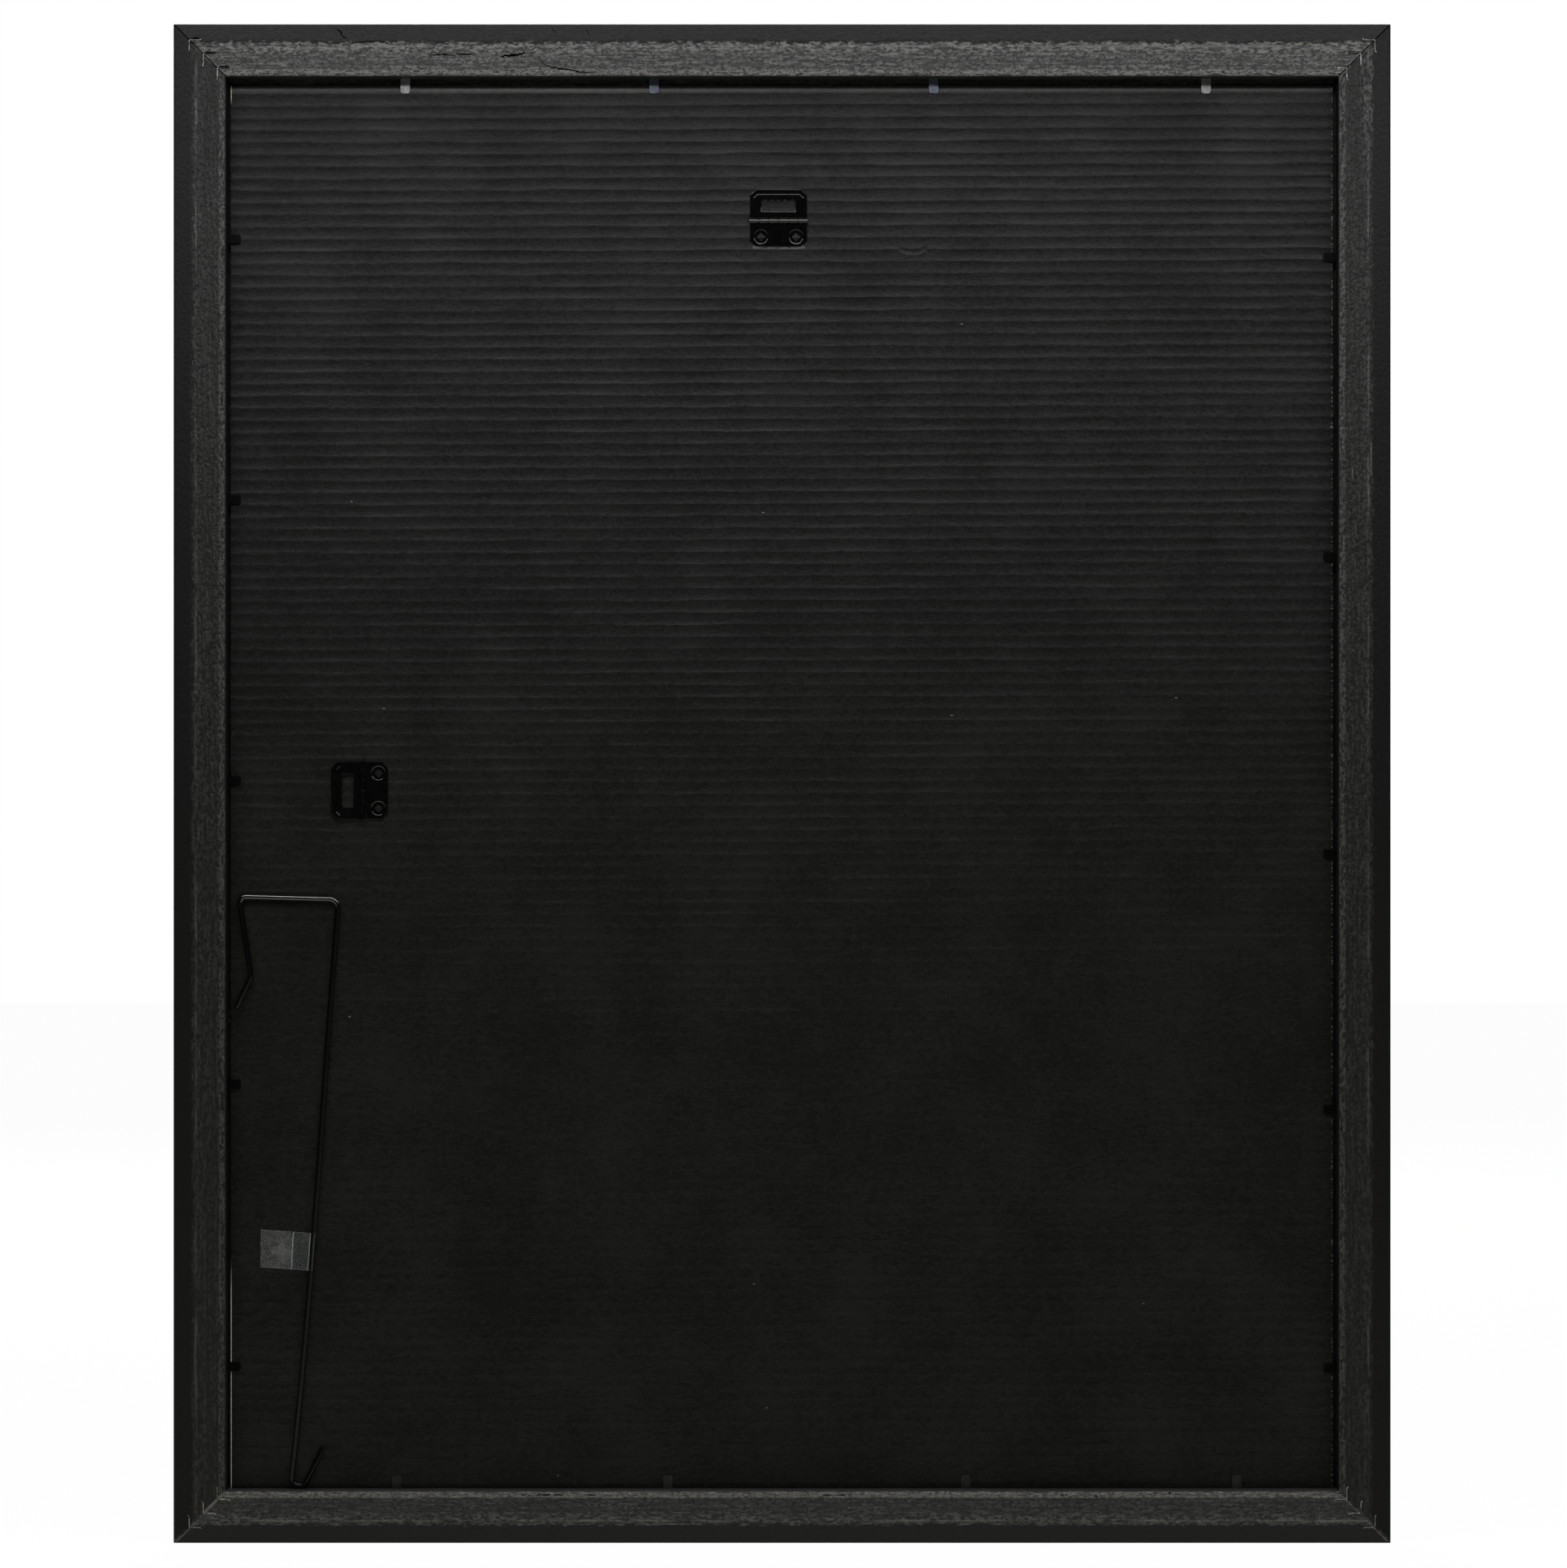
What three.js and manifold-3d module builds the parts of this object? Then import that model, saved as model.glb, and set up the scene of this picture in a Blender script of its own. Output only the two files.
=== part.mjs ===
// Poster frame for a 22 by 28 inch sheet, with its back facing -Y and its front facing +Y.
// Millimetres, +X to the right as seen from behind, +Z up, origin at the centre of the whole frame.

import * as THREE from 'three';
import { mergeVertices } from 'three/addons/utils/BufferGeometryUtils.js';
import Module from 'manifold-3d';

const wasm = await Module();
wasm.setup();

// The sheets in the frame
const sheetWidth = 558.8;
const sheetHeight = 711.2;
const sheetSlack = 3.8; // how much wider and taller the rebate is than a sheet
const sheetShift = -0.2; // the sheets sit this far right of centre
const restGap = 0.1; // between a sheet's lower edge and the rail it rests on
const layerGap = 0.05; // between one layer of the stack and the next
const glazingThickness = 2;
const insertThickness = 0.25;
const boardThickness = 3;
const linerThickness = 0.35;
const mediumThickness = 0.25;
const flutePitch = 6.13;
const fluteCrest = 1.5; // flat top of each flute

// The moulding, measured in from its outer edge and forward from its back
const railBackWidth = 26.3;
const railDepth = 21;
const lipOverSheet = 6;
const lipThickness = 4.5;
const bandWidth = 9; // smooth wrap folded onto the back
const bandDrop = 0.3; // the wrap falls away by this much at the outer edge
const backCornerRadius = 1.2;
const frontCornerRadius = 3;
const sightCornerRadius = 2.5;
const mitreGap = 0.15;
const cornerSteps = 2; // an arc gets twice as many steps as this

// Corner nails, V-shaped strips driven in across each mitre
const nailsPerCorner = 3;
const nailFromOuterEdge = 8;
const nailFromWall = 4.1;
const nailLeg = 6.2;
const nailCurl = 0.7;
const nailThickness = 0.6;
const nailDepth = 10;
const nailSink = 0.15; // how far the nails lie below the back of the rails
const nailClearance = 0.12;

// Flexible points, steel strips shot into the rebate wall over the board
const pointWidth = 4.8;
const pointNeck = 4.4; // narrower where the strip leaves the wall
const pointThickness = 0.5;
const pointInWood = 8.5;
const pointTipRadius = 1.2;
const pointOverBoard = 0.25;
const pointClearance = 0.12;
const overcut = 1; // cutting solids run this far past the surface that they open
const pointReachTop = 7.6;
const pointReachElse = 6.8;

// Where the points stand: from the first wall of their side, from its middle, and from its last wall
const topPoints = { fromLeft: [90.2], fromMiddle: [-64.9, 76.9], fromRight: [66.3] };
const bottomPoints = { fromLeft: [85.9], fromMiddle: [-57.9, 93.1], fromRight: [50.7] };
const leftPoints = { fromBottom: [61.8, 205], fromMiddle: [1.4], fromTop: [213.6, 81.5] };
const rightPoints = { fromBottom: [61, 192.2], fromMiddle: [-35.6], fromTop: [242.5, 90.6] };

// Hinged sawtooth hangers
const leafThickness = 0.6;
const leafWidth = 28.8;
const leafOverBoard = 0.15;
const swingLength = 15.9;
const swingChamfer = [3.2, 2.9];
const fixedLength = 12.8;
const fixedChamfer = [3, 2.7];
const barrelLength = 29.6;
const barrelRadius = 1.3;
const barrelBore = 0.75;
const pinRadius = 0.65;
const knuckleCount = 6;
const knuckleGap = 0.15;
const barrelClearance = 0.4; // between a leaf's edge and the other leaf's knuckles
const barrelSteps = 8; // half the sides of a knuckle and of the pin
const windowFromHinge = 4.65;
const windowHeight = 6.6;
const windowMargin = 0.2;
const notchCount = 5;
const notchPitch = 3.4;
const notchWidth = 3;
const notchDepth = 1.1;
const beadWidth = 0.9;
const beadHeight = 0.35;
const beadFromEdge = 2.5;
const beadFromSide = 3.7;
const beadFoot = 1.9; // how far the bead's ends turn out and back at 45 degrees
const fixingFromSide = 5.5;
const fixingFromHinge = 8;
const fixingHole = 2.4; // half the diagonal of the square hole
const fixingDishRadius = 3.9;
const fixingDishWidth = 0.8;
const fixingDishDepth = 0.3;
const dishSteps = 16;
const prongWidth = 1.6;
const prongTip = 0.5;
const prongThickness = 0.5;
const prongLength = 2.4;
const prongClearance = 0.15;
const pocketMargin = 0.6; // flutes crushed around the prongs

// Where the hangers' hinges are
const topHangerBelowWall = 72.2;
const topHangerShift = -1.8;
const sideHangerFromWall = 68.6;
const sideHangerShift = -3.6;
const sideHangerOpen = THREE.MathUtils.degToRad(4);

// The wire stand lying in the recess. Its places are across and up from the recess's lower left corner
const wireRadius = 1.4;
const wireOverBoard = 0.1;
const wireSides = 8;
const wireBendSteps = 4;
const wireHookSteps = 9;
const wireEnd = [4.7, 243.4];
const wireEndLift = 2;
const wireKnee = [12.1, 260.2];
const wireKneeRadius = 4;
const wireBarLeft = [6, 299.8];
const wireBarRight = [56.4, 298.4];
const wireBarRadius = 3;
const legBow = 1.15; // how far the long leg is bent sideways
const legSpans = 12;
const hookCentreAcross = 36.65;
const hookRadius = 3.9;
const hookStart = THREE.MathUtils.degToRad(174.6);
const hookEnd = THREE.MathUtils.degToRad(335.9);
const hookTip = [48.8, 21.5];
const wireWallGap = 0.1;

// Tape over the wire
const tapeWidth = 19;
const tapeThickness = 0.15;
const tapeOverBoard = 0.1;
const tapeOverWire = 0.1;
const tapeSpan = 7; // which span of the long leg the tape's centre is on
const tapeAlongSpan = 0.27; // how far along that span
const tapeStuckFrom = -26.5; // from the wire's centre
const tapeStuckTo = -7.8;
const tapeFoot = 0.3;
const tapeTeeth = 13;
const tapeToothDepth = 0.4;
const tapeArcSteps = 6;

// Sizes that follow from the ones above
const openingWidth = sheetWidth + sheetSlack;
const openingHeight = sheetHeight + sheetSlack;
const frameWidth = openingWidth + 2 * railBackWidth;
const frameHeight = openingHeight + 2 * railBackWidth;
const railFrontWidth = railBackWidth + sheetSlack / 2 + lipOverSheet;
const rebateDepth = railDepth - lipThickness;
const backPlane = -railDepth / 2;
const glazingFront = backPlane + rebateDepth - layerGap;
const insertFront = glazingFront - glazingThickness - layerGap;
const boardFront = insertFront - insertThickness - layerGap;
const boardBack = boardFront - boardThickness;
const coreHeight = boardThickness - 2 * (linerThickness + layerGap);
const leftWall = -openingWidth / 2;
const bottomWall = -openingHeight / 2;
const sheetCentreZ = bottomWall + restGap + sheetHeight / 2;
const hingeHeight = leafOverBoard + barrelRadius; // hinge axis over the board
const plateTop = leafThickness - barrelRadius; // outer face of a leaf, from the hinge axis
const pointCentre = boardBack - pointOverBoard - pointThickness / 2;

const mouldingBlack = new THREE.MeshStandardMaterial({ color: 0x1b1b1d, roughness: 0.62, metalness: 0 });
const cardBlack = new THREE.MeshStandardMaterial({ color: 0x242422, roughness: 0.9, metalness: 0 });
const flutedBrown = new THREE.MeshStandardMaterial({ color: 0x8a6a46, roughness: 0.95, metalness: 0 });
const paperWhite = new THREE.MeshStandardMaterial({ color: 0xefece4, roughness: 0.9, metalness: 0 });
const clearSheet = new THREE.MeshStandardMaterial({
  color: 0xf4f8f8, roughness: 0.05, metalness: 0, transparent: true, opacity: 0.25,
});
const bareSteel = new THREE.MeshStandardMaterial({ color: 0xb9bab8, roughness: 0.35, metalness: 1 });
const dullSteel = new THREE.MeshStandardMaterial({ color: 0x4b4d50, roughness: 0.45, metalness: 0.8 });
const blackMetal = new THREE.MeshStandardMaterial({ color: 0x101114, roughness: 0.25, metalness: 0.3 });
const tapeFilm = new THREE.MeshStandardMaterial({
  color: 0x9a9c9e, roughness: 0.6, metalness: 0, transparent: true, opacity: 0.6,
});

const posterFrame = new THREE.Group();

function addMesh(parent, name, geometry, material) {
  const mesh = new THREE.Mesh(geometry, material);
  mesh.name = name;
  parent.add(mesh);
  return mesh;
}

function toSolid(geometry) {
  const bare = geometry.clone();
  bare.deleteAttribute('normal');
  bare.deleteAttribute('uv');
  const merged = mergeVertices(bare, 1e-4);
  return new wasm.Manifold(new wasm.Mesh({
    numProp: 3,
    vertProperties: new Float32Array(merged.attributes.position.array),
    triVerts: new Uint32Array(merged.index.array),
  }));
}

function toGeometry(solid) {
  const mesh = solid.getMesh();
  const geometry = new THREE.BufferGeometry();
  geometry.setAttribute('position', new THREE.BufferAttribute(mesh.vertProperties, 3));
  geometry.setIndex(new THREE.BufferAttribute(mesh.triVerts, 1));
  geometry.computeVertexNormals();
  return geometry;
}

function subtract(geometry, tools) {
  const solid = tools.reduce((left, tool) => left.subtract(toSolid(tool)), toSolid(geometry));
  return toGeometry(solid);
}

function join(geometries) {
  const solid = geometries.map(toSolid).reduce((all, next) => all.add(next));
  return toGeometry(solid);
}

function extrude(shape, depth, curveSegments = cornerSteps) {
  return new THREE.ExtrudeGeometry(shape, { depth, bevelEnabled: false, curveSegments });
}

function shapeOf(points) {
  return new THREE.Shape(points.map(([x, y]) => new THREE.Vector2(x, y)));
}

// Outline of a strip of even width that follows a bent line
function ribbon(line, width) {
  const points = line.map(([x, y]) => new THREE.Vector2(x, y));
  const last = points.length - 1;
  const offsets = points.map((point, i) => {
    const before = point.clone().sub(points[Math.max(i - 1, 0)]).normalize();
    const after = points[Math.min(i + 1, last)].clone().sub(point).normalize();
    const along = before.clone().add(after).normalize();
    const reference = i === 0 ? after : before;
    const scale = width / 2 / along.dot(reference);
    return new THREE.Vector2(-along.y, along.x).multiplyScalar(scale);
  });
  const left = points.map((point, i) => point.clone().add(offsets[i]));
  const right = points.map((point, i) => point.clone().sub(offsets[i]));
  return new THREE.Shape([...right, ...left.reverse()]);
}

// One side of the frame: local +Z points outwards and local X runs along the rail
function sides() {
  return {
    top: { turn: 0, length: frameWidth, half: frameHeight / 2 },
    right: { turn: Math.PI / 2, length: frameHeight, half: frameWidth / 2 },
    bottom: { turn: Math.PI, length: frameWidth, half: frameHeight / 2 },
    left: { turn: -Math.PI / 2, length: frameHeight, half: frameWidth / 2 },
  };
}

// Clockwise arc on a shape, in degrees
function roundTo(shape, x, y, radius, from, to) {
  shape.absarc(x, y, radius, THREE.MathUtils.degToRad(from), THREE.MathUtils.degToRad(to), true);
}

// Moulding section, p inwards from the outer edge and q forwards from the back
function railSection() {
  const section = new THREE.Shape();
  section.moveTo(railBackWidth, 0);
  section.lineTo(bandWidth, 0);
  section.lineTo(backCornerRadius, bandDrop);
  roundTo(section, backCornerRadius, bandDrop + backCornerRadius, backCornerRadius, -90, -180);
  section.lineTo(0, railDepth - frontCornerRadius);
  roundTo(section, frontCornerRadius, railDepth - frontCornerRadius, frontCornerRadius, 180, 90);
  section.lineTo(railFrontWidth - sightCornerRadius, railDepth);
  roundTo(section, railFrontWidth - sightCornerRadius, railDepth - sightCornerRadius, sightCornerRadius, 90, 0);
  section.lineTo(railFrontWidth, rebateDepth);
  section.lineTo(railBackWidth, rebateDepth);
  return section;
}

function railBlank(side) {
  const geometry = extrude(railSection(), 1);
  const position = geometry.attributes.position;
  for (let i = 0; i < position.count; i += 1) {
    const inward = position.getX(i);
    const end = position.getZ(i) * 2 - 1;
    const reach = side.length / 2 - inward - mitreGap / Math.SQRT2;
    position.setXYZ(i, end * reach, backPlane + position.getY(i), side.half - inward);
  }
  geometry.computeVertexNormals();
  return geometry;
}

// V-shaped nail in plan, apex at the origin and legs along +X and +Z, driven in along +Y
function nailGeometry(clearance = 0, behind = 0) {
  const legEnd = nailLeg + clearance;
  const line = [
    [legEnd, -nailCurl],
    [nailLeg - nailCurl, 0],
    [0, 0],
    [0, nailLeg - nailCurl],
    [-nailCurl, legEnd],
  ];
  const geometry = extrude(ribbon(line, nailThickness + 2 * clearance), nailDepth + clearance + behind);
  geometry.rotateX(Math.PI / 2);
  return geometry.translate(0, backPlane + nailSink + nailDepth + clearance, 0);
}

function nailPlaces() {
  const corners = [
    { name: 'bottom_left', turn: 0, across: -1, up: -1 },
    { name: 'top_left', turn: Math.PI / 2, across: -1, up: 1 },
    { name: 'top_right', turn: Math.PI, across: 1, up: 1 },
    { name: 'bottom_right', turn: -Math.PI / 2, across: 1, up: -1 },
  ];
  const pitch = (railBackWidth - nailFromOuterEdge - nailFromWall) / (nailsPerCorner - 1);
  return corners.flatMap((corner) => Array.from({ length: nailsPerCorner }, (_, i) => {
    const inset = nailFromOuterEdge + i * pitch;
    return {
      name: `${corner.name}_corner_nail_${i + 1}`,
      turn: corner.turn,
      x: corner.across * (frameWidth / 2 - inset),
      z: corner.up * (frameHeight / 2 - inset),
    };
  }));
}

function nailSlot(place) {
  return nailGeometry(nailClearance, nailSink + overcut).rotateY(place.turn).translate(place.x, 0, place.z);
}

// Flexible point seen along Y: local -Z points out of the wall over the board
function pointOutline(reach) {
  const tip = pointWidth / 2 - pointTipRadius;
  const outline = new THREE.Shape();
  outline.moveTo(-pointNeck / 2, 0);
  outline.lineTo(-pointNeck / 2, pointInWood - pointTipRadius);
  outline.lineTo(-pointNeck / 2 + pointTipRadius, pointInWood);
  outline.lineTo(pointNeck / 2 - pointTipRadius, pointInWood);
  outline.lineTo(pointNeck / 2, pointInWood - pointTipRadius);
  outline.lineTo(pointNeck / 2, 0);
  roundTo(outline, tip, pointTipRadius - reach, pointTipRadius, 0, -90);
  roundTo(outline, -tip, pointTipRadius - reach, pointTipRadius, -90, -180);
  return outline;
}

function pointGeometry(reach) {
  const geometry = extrude(pointOutline(reach), pointThickness);
  geometry.rotateX(Math.PI / 2);
  return geometry.translate(0, pointCentre + pointThickness / 2, 0);
}

function pointSlot() {
  const inWood = pointInWood + pointClearance;
  const slot = new THREE.BoxGeometry(
    pointNeck + 2 * pointClearance, pointThickness + 2 * pointClearance, inWood + overcut,
  );
  return slot.translate(0, pointCentre, (inWood - overcut) / 2);
}

// Places along a wall from its middle, for points given from both of its ends and from its middle
function placesAlong(half, points) {
  const fromLow = points.fromLeft ?? points.fromBottom;
  const fromHigh = points.fromRight ?? points.fromTop;
  return [...fromLow.map((d) => d - half), ...points.fromMiddle, ...fromHigh.map((d) => half - d)];
}

function pointPlaces() {
  const halfWide = openingWidth / 2;
  const halfHigh = openingHeight / 2;
  const bySide = {
    top: placesAlong(halfWide, topPoints),
    right: placesAlong(halfHigh, rightPoints).map((z) => -z),
    bottom: placesAlong(halfWide, bottomPoints).map((x) => -x),
    left: placesAlong(halfHigh, leftPoints),
  };
  return Object.entries(bySide).flatMap(([name, places]) => places.map((along, i) => ({
    name: `${name}_flexible_point_${i + 1}`,
    side: name,
    along,
    reach: name === 'top' ? pointReachTop : pointReachElse,
    wall: sides()[name].half - railBackWidth,
  })));
}

function railGeometry(name, side) {
  const nailSlots = nailPlaces().map((place) => nailSlot(place).rotateY(-side.turn));
  const pointSlots = pointPlaces()
    .filter((place) => place.side === name)
    .map((place) => pointSlot().translate(place.along, 0, place.wall));
  return subtract(railBlank(side), [...nailSlots, ...pointSlots]);
}

function addRails() {
  for (const [name, side] of Object.entries(sides())) {
    const rail = addMesh(posterFrame, `${name}_rail`, railGeometry(name, side), mouldingBlack);
    rail.rotation.y = side.turn;
  }
}

function addNails() {
  for (const place of nailPlaces()) {
    const nail = addMesh(posterFrame, place.name, nailGeometry(), bareSteel);
    nail.position.set(place.x, 0, place.z);
    nail.rotation.y = place.turn;
  }
}

function addPoints() {
  for (const place of pointPlaces()) {
    const side = new THREE.Group();
    side.rotation.y = sides()[place.side].turn;
    posterFrame.add(side);
    const finish = place.side === 'top' ? bareSteel : dullSteel;
    const point = addMesh(side, place.name, pointGeometry(place.reach), finish);
    point.position.set(place.along, 0, place.wall);
  }
}

function sheet(thickness, front) {
  const geometry = new THREE.BoxGeometry(sheetWidth, thickness, sheetHeight);
  return geometry.translate(sheetShift, front - thickness / 2, sheetCentreZ);
}

// Fluted core, its flutes running across the sheet
function fluteLine() {
  const low = mediumThickness / 2;
  const high = coreHeight - mediumThickness / 2;
  const count = Math.floor(sheetHeight / flutePitch);
  const start = -count * flutePitch / 2;
  const line = [];
  for (let i = 0; i < count; i += 1) {
    const z = start + i * flutePitch;
    const middle = z + flutePitch / 2;
    line.push([z, low], [z + fluteCrest, low], [middle, high], [middle + fluteCrest, high]);
  }
  return line;
}

function coreGeometry() {
  const geometry = extrude(ribbon(fluteLine(), mediumThickness), sheetWidth);
  const toFrame = new THREE.Matrix4().makeBasis(
    new THREE.Vector3(0, 0, 1), new THREE.Vector3(0, 1, 0), new THREE.Vector3(-1, 0, 0),
  );
  geometry.applyMatrix4(toFrame);
  return geometry.translate(sheetWidth / 2 + sheetShift, boardBack + linerThickness + layerGap, sheetCentreZ);
}

// The hangers' places: their frame has +X along the hinge, +Y towards the swing leaf and +Z off the board
function hangers() {
  return {
    top: {
      position: [topHangerShift, boardBack - hingeHeight, openingHeight / 2 - topHangerBelowWall],
      turn: 0,
      open: 0,
    },
    side: {
      position: [leftWall + sideHangerFromWall, boardBack - hingeHeight, sideHangerShift],
      turn: Math.PI / 2,
      open: sideHangerOpen,
    },
  };
}

function hangerGroup(hanger) {
  const group = new THREE.Group();
  group.position.set(...hanger.position);
  group.rotation.set(Math.PI / 2, 0, hanger.turn);
  return group;
}

function fixingCentres() {
  const across = leafWidth / 2 - fixingFromSide;
  return [[-across, -fixingFromHinge], [across, -fixingFromHinge]];
}

// A cut of the given width and thickness at each side of both square holes
function aroundFixings(make) {
  const sideDistance = fixingHole / Math.SQRT2 + prongThickness / 2;
  return fixingCentres().flatMap(([x, y]) => [0, 1, 2, 3].map((i) => {
    const turn = Math.PI / 4 + i * Math.PI / 2;
    return make().translate(0, sideDistance, 0).rotateZ(turn).translate(x, y, 0);
  }));
}

function prong() {
  const top = plateTop - fixingDishDepth;
  const bottom = -barrelRadius - prongLength;
  const blade = shapeOf([
    [-prongTip / 2, bottom], [prongTip / 2, bottom], [prongWidth / 2, top], [-prongWidth / 2, top],
  ]);
  return extrude(blade, prongThickness).rotateX(Math.PI / 2).translate(0, prongThickness / 2, 0);
}

function prongSlit() {
  const width = prongWidth + 2 * prongClearance;
  const slit = new THREE.BoxGeometry(
    width, prongThickness + 2 * prongClearance, 2 * (linerThickness + overcut),
  );
  return slit.translate(0, 0, -hingeHeight);
}

function corePockets() {
  const size = Math.SQRT2 * fixingHole + 2 * (prongThickness + pocketMargin);
  return fixingCentres().map(([x, y]) => {
    const pocket = new THREE.BoxGeometry(size, size, 2 * boardThickness);
    return pocket.rotateZ(Math.PI / 4).translate(x, y, -hingeHeight - boardThickness / 2);
  });
}

// Board cuts for both hangers, brought into the frame's own axes
function boardCuts(makeCuts) {
  return Object.values(hangers()).flatMap((hanger) => {
    const group = hangerGroup(hanger);
    group.updateMatrix();
    return makeCuts().map((cut) => cut.applyMatrix4(group.matrix));
  });
}

function addSheets() {
  addMesh(posterFrame, 'glazing_sheet', sheet(glazingThickness, glazingFront), clearSheet);
  addMesh(posterFrame, 'poster_insert', sheet(insertThickness, insertFront), paperWhite);
  addMesh(posterFrame, 'board_front_liner', sheet(linerThickness, boardFront), cardBlack);
  addMesh(posterFrame, 'board_fluted_core', subtract(coreGeometry(), boardCuts(corePockets)), flutedBrown);
  const backLiner = sheet(linerThickness, boardBack + linerThickness);
  const slits = boardCuts(() => aroundFixings(prongSlit));
  addMesh(posterFrame, 'board_back_liner', subtract(backLiner, slits), cardBlack);
}

// One rolled knuckle with the strap that ties it to its leaf
function knuckle(index) {
  const strapEnd = barrelRadius + barrelClearance + leafThickness / 2;
  const strapJoin = Math.sqrt(barrelRadius ** 2 - plateTop ** 2);
  const section = new THREE.Shape();
  section.moveTo(strapEnd, -barrelRadius);
  section.lineTo(strapEnd, plateTop);
  section.lineTo(strapJoin, plateTop);
  section.absarc(0, 0, barrelRadius, Math.atan2(plateTop, strapJoin), 1.5 * Math.PI, false);
  section.holes.push(new THREE.Path().absarc(0, 0, barrelBore, 0, 2 * Math.PI, true));
  const pitch = (barrelLength + knuckleGap) / knuckleCount;
  const geometry = extrude(section, pitch - knuckleGap, barrelSteps);
  const toHanger = new THREE.Matrix4().makeBasis(
    new THREE.Vector3(0, 1, 0), new THREE.Vector3(0, 0, 1), new THREE.Vector3(1, 0, 0),
  );
  return geometry.applyMatrix4(toHanger).translate(index * pitch - barrelLength / 2, 0, 0);
}

function leafOutline(length, [chamferAcross, chamferAlong]) {
  const half = leafWidth / 2;
  const near = barrelRadius + barrelClearance;
  return shapeOf([
    [-half, near], [half, near], [half, length - chamferAlong], [half - chamferAcross, length],
    [chamferAcross - half, length], [-half, length - chamferAlong],
  ]);
}

function sawtoothWindow() {
  const half = notchCount * notchPitch / 2 + windowMargin;
  const toothTips = windowFromHinge + windowHeight - notchDepth;
  const path = [[half, windowFromHinge], [-half, windowFromHinge], [-half, toothTips]];
  for (let i = 0; i < notchCount; i += 1) {
    const middle = (i - (notchCount - 1) / 2) * notchPitch;
    path.push([middle - notchWidth / 2, toothTips]);
    path.push([middle, toothTips + notchDepth]);
    path.push([middle + notchWidth / 2, toothTips]);
  }
  path.push([half, toothTips]);
  return new THREE.Path(path.map(([x, y]) => new THREE.Vector2(x, y)));
}

// Raised bead along the swing leaf's free edge, turning out and back at its ends
function stiffeningBead() {
  const half = leafWidth / 2 - beadFromSide;
  const y = swingLength - beadFromEdge;
  const foot = [half + beadFoot, y - beadFoot];
  const line = [[foot[0], foot[1]], [half, y], [-half, y], [-foot[0], foot[1]]];
  return extrude(ribbon(line, beadWidth), 2 * beadHeight).translate(0, 0, plateTop - beadHeight);
}

function leafKnuckles() {
  const own = [];
  for (let i = 0; i < knuckleCount; i += 2) own.push(knuckle(i));
  return own;
}

function swingLeaf() {
  const outline = leafOutline(swingLength, swingChamfer);
  outline.holes.push(sawtoothWindow());
  const plate = extrude(outline, leafThickness).translate(0, 0, -barrelRadius);
  return join([plate, stiffeningBead(), ...leafKnuckles()]);
}

// Cut of the shallow dish pressed in around a fixing hole
function fixingDish(x, y) {
  const floor = plateTop - fixingDishDepth;
  const section = [
    [0, floor], [fixingDishRadius - fixingDishWidth, floor], [fixingDishRadius, plateTop],
    [fixingDishRadius, plateTop + overcut], [0, plateTop + overcut],
  ];
  const dish = new THREE.LatheGeometry(section.map(([r, h]) => new THREE.Vector2(r, h)), dishSteps);
  return dish.rotateX(Math.PI / 2).translate(x, y, 0);
}

function fixedLeaf() {
  const plate = extrude(leafOutline(fixedLength, fixedChamfer), leafThickness).translate(0, 0, -barrelRadius);
  const turned = join([plate, ...leafKnuckles()]).rotateZ(Math.PI);
  const side = Math.SQRT2 * fixingHole;
  const holes = fixingCentres().map(([x, y]) => {
    const hole = new THREE.BoxGeometry(side, side, 2 * (leafThickness + overcut));
    return hole.rotateZ(Math.PI / 4).translate(x, y, -barrelRadius);
  });
  const dishes = fixingCentres().map(([x, y]) => fixingDish(x, y));
  const plateWithProngs = join([turned, ...aroundFixings(prong)]);
  return subtract(plateWithProngs, [...dishes, ...holes]);
}

function hingePin() {
  return new THREE.CylinderGeometry(pinRadius, pinRadius, barrelLength, 2 * barrelSteps).rotateZ(Math.PI / 2);
}

function addHangers() {
  for (const [name, hanger] of Object.entries(hangers())) {
    const group = hangerGroup(hanger);
    posterFrame.add(group);
    addMesh(group, `${name}_hanger_fixed_leaf`, fixedLeaf(), blackMetal);
    addMesh(group, `${name}_hanger_hinge_pin`, hingePin(), blackMetal);
    const leaf = addMesh(group, `${name}_hanger_swing_leaf`, swingLeaf(), blackMetal);
    leaf.rotation.x = hanger.open;
  }
}

// Points of a rounded corner between two straight runs
function roundedCorner(before, corner, after, radius) {
  const toBefore = before.clone().sub(corner).normalize();
  const toAfter = after.clone().sub(corner).normalize();
  const half = toBefore.angleTo(toAfter) / 2;
  const centre = corner.clone().add(toBefore.clone().add(toAfter).setLength(radius / Math.sin(half)));
  const first = corner.clone().addScaledVector(toBefore, radius / Math.tan(half)).sub(centre);
  const lastSpoke = corner.clone().addScaledVector(toAfter, radius / Math.tan(half)).sub(centre);
  const axis = first.clone().cross(lastSpoke).normalize();
  const sweep = first.angleTo(lastSpoke);
  return Array.from({ length: wireBendSteps + 1 }, (_, i) => {
    return first.clone().applyAxisAngle(axis, sweep * i / wireBendSteps).add(centre);
  });
}

// A place on the wire's centre, in the frame's axes
function wirePoint([across, up], lift = 0) {
  const y = boardBack - wireOverBoard - wireRadius - lift;
  return new THREE.Vector3(leftWall + across, y, bottomWall + up);
}

function hookPoints() {
  const centreUp = wireWallGap + wireRadius + hookRadius;
  return Array.from({ length: wireHookSteps + 1 }, (_, i) => {
    const angle = hookStart + (hookEnd - hookStart) * i / wireHookSteps;
    const across = hookCentreAcross + hookRadius * Math.cos(angle);
    return wirePoint([across, centreUp + hookRadius * Math.sin(angle)]);
  });
}

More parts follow.
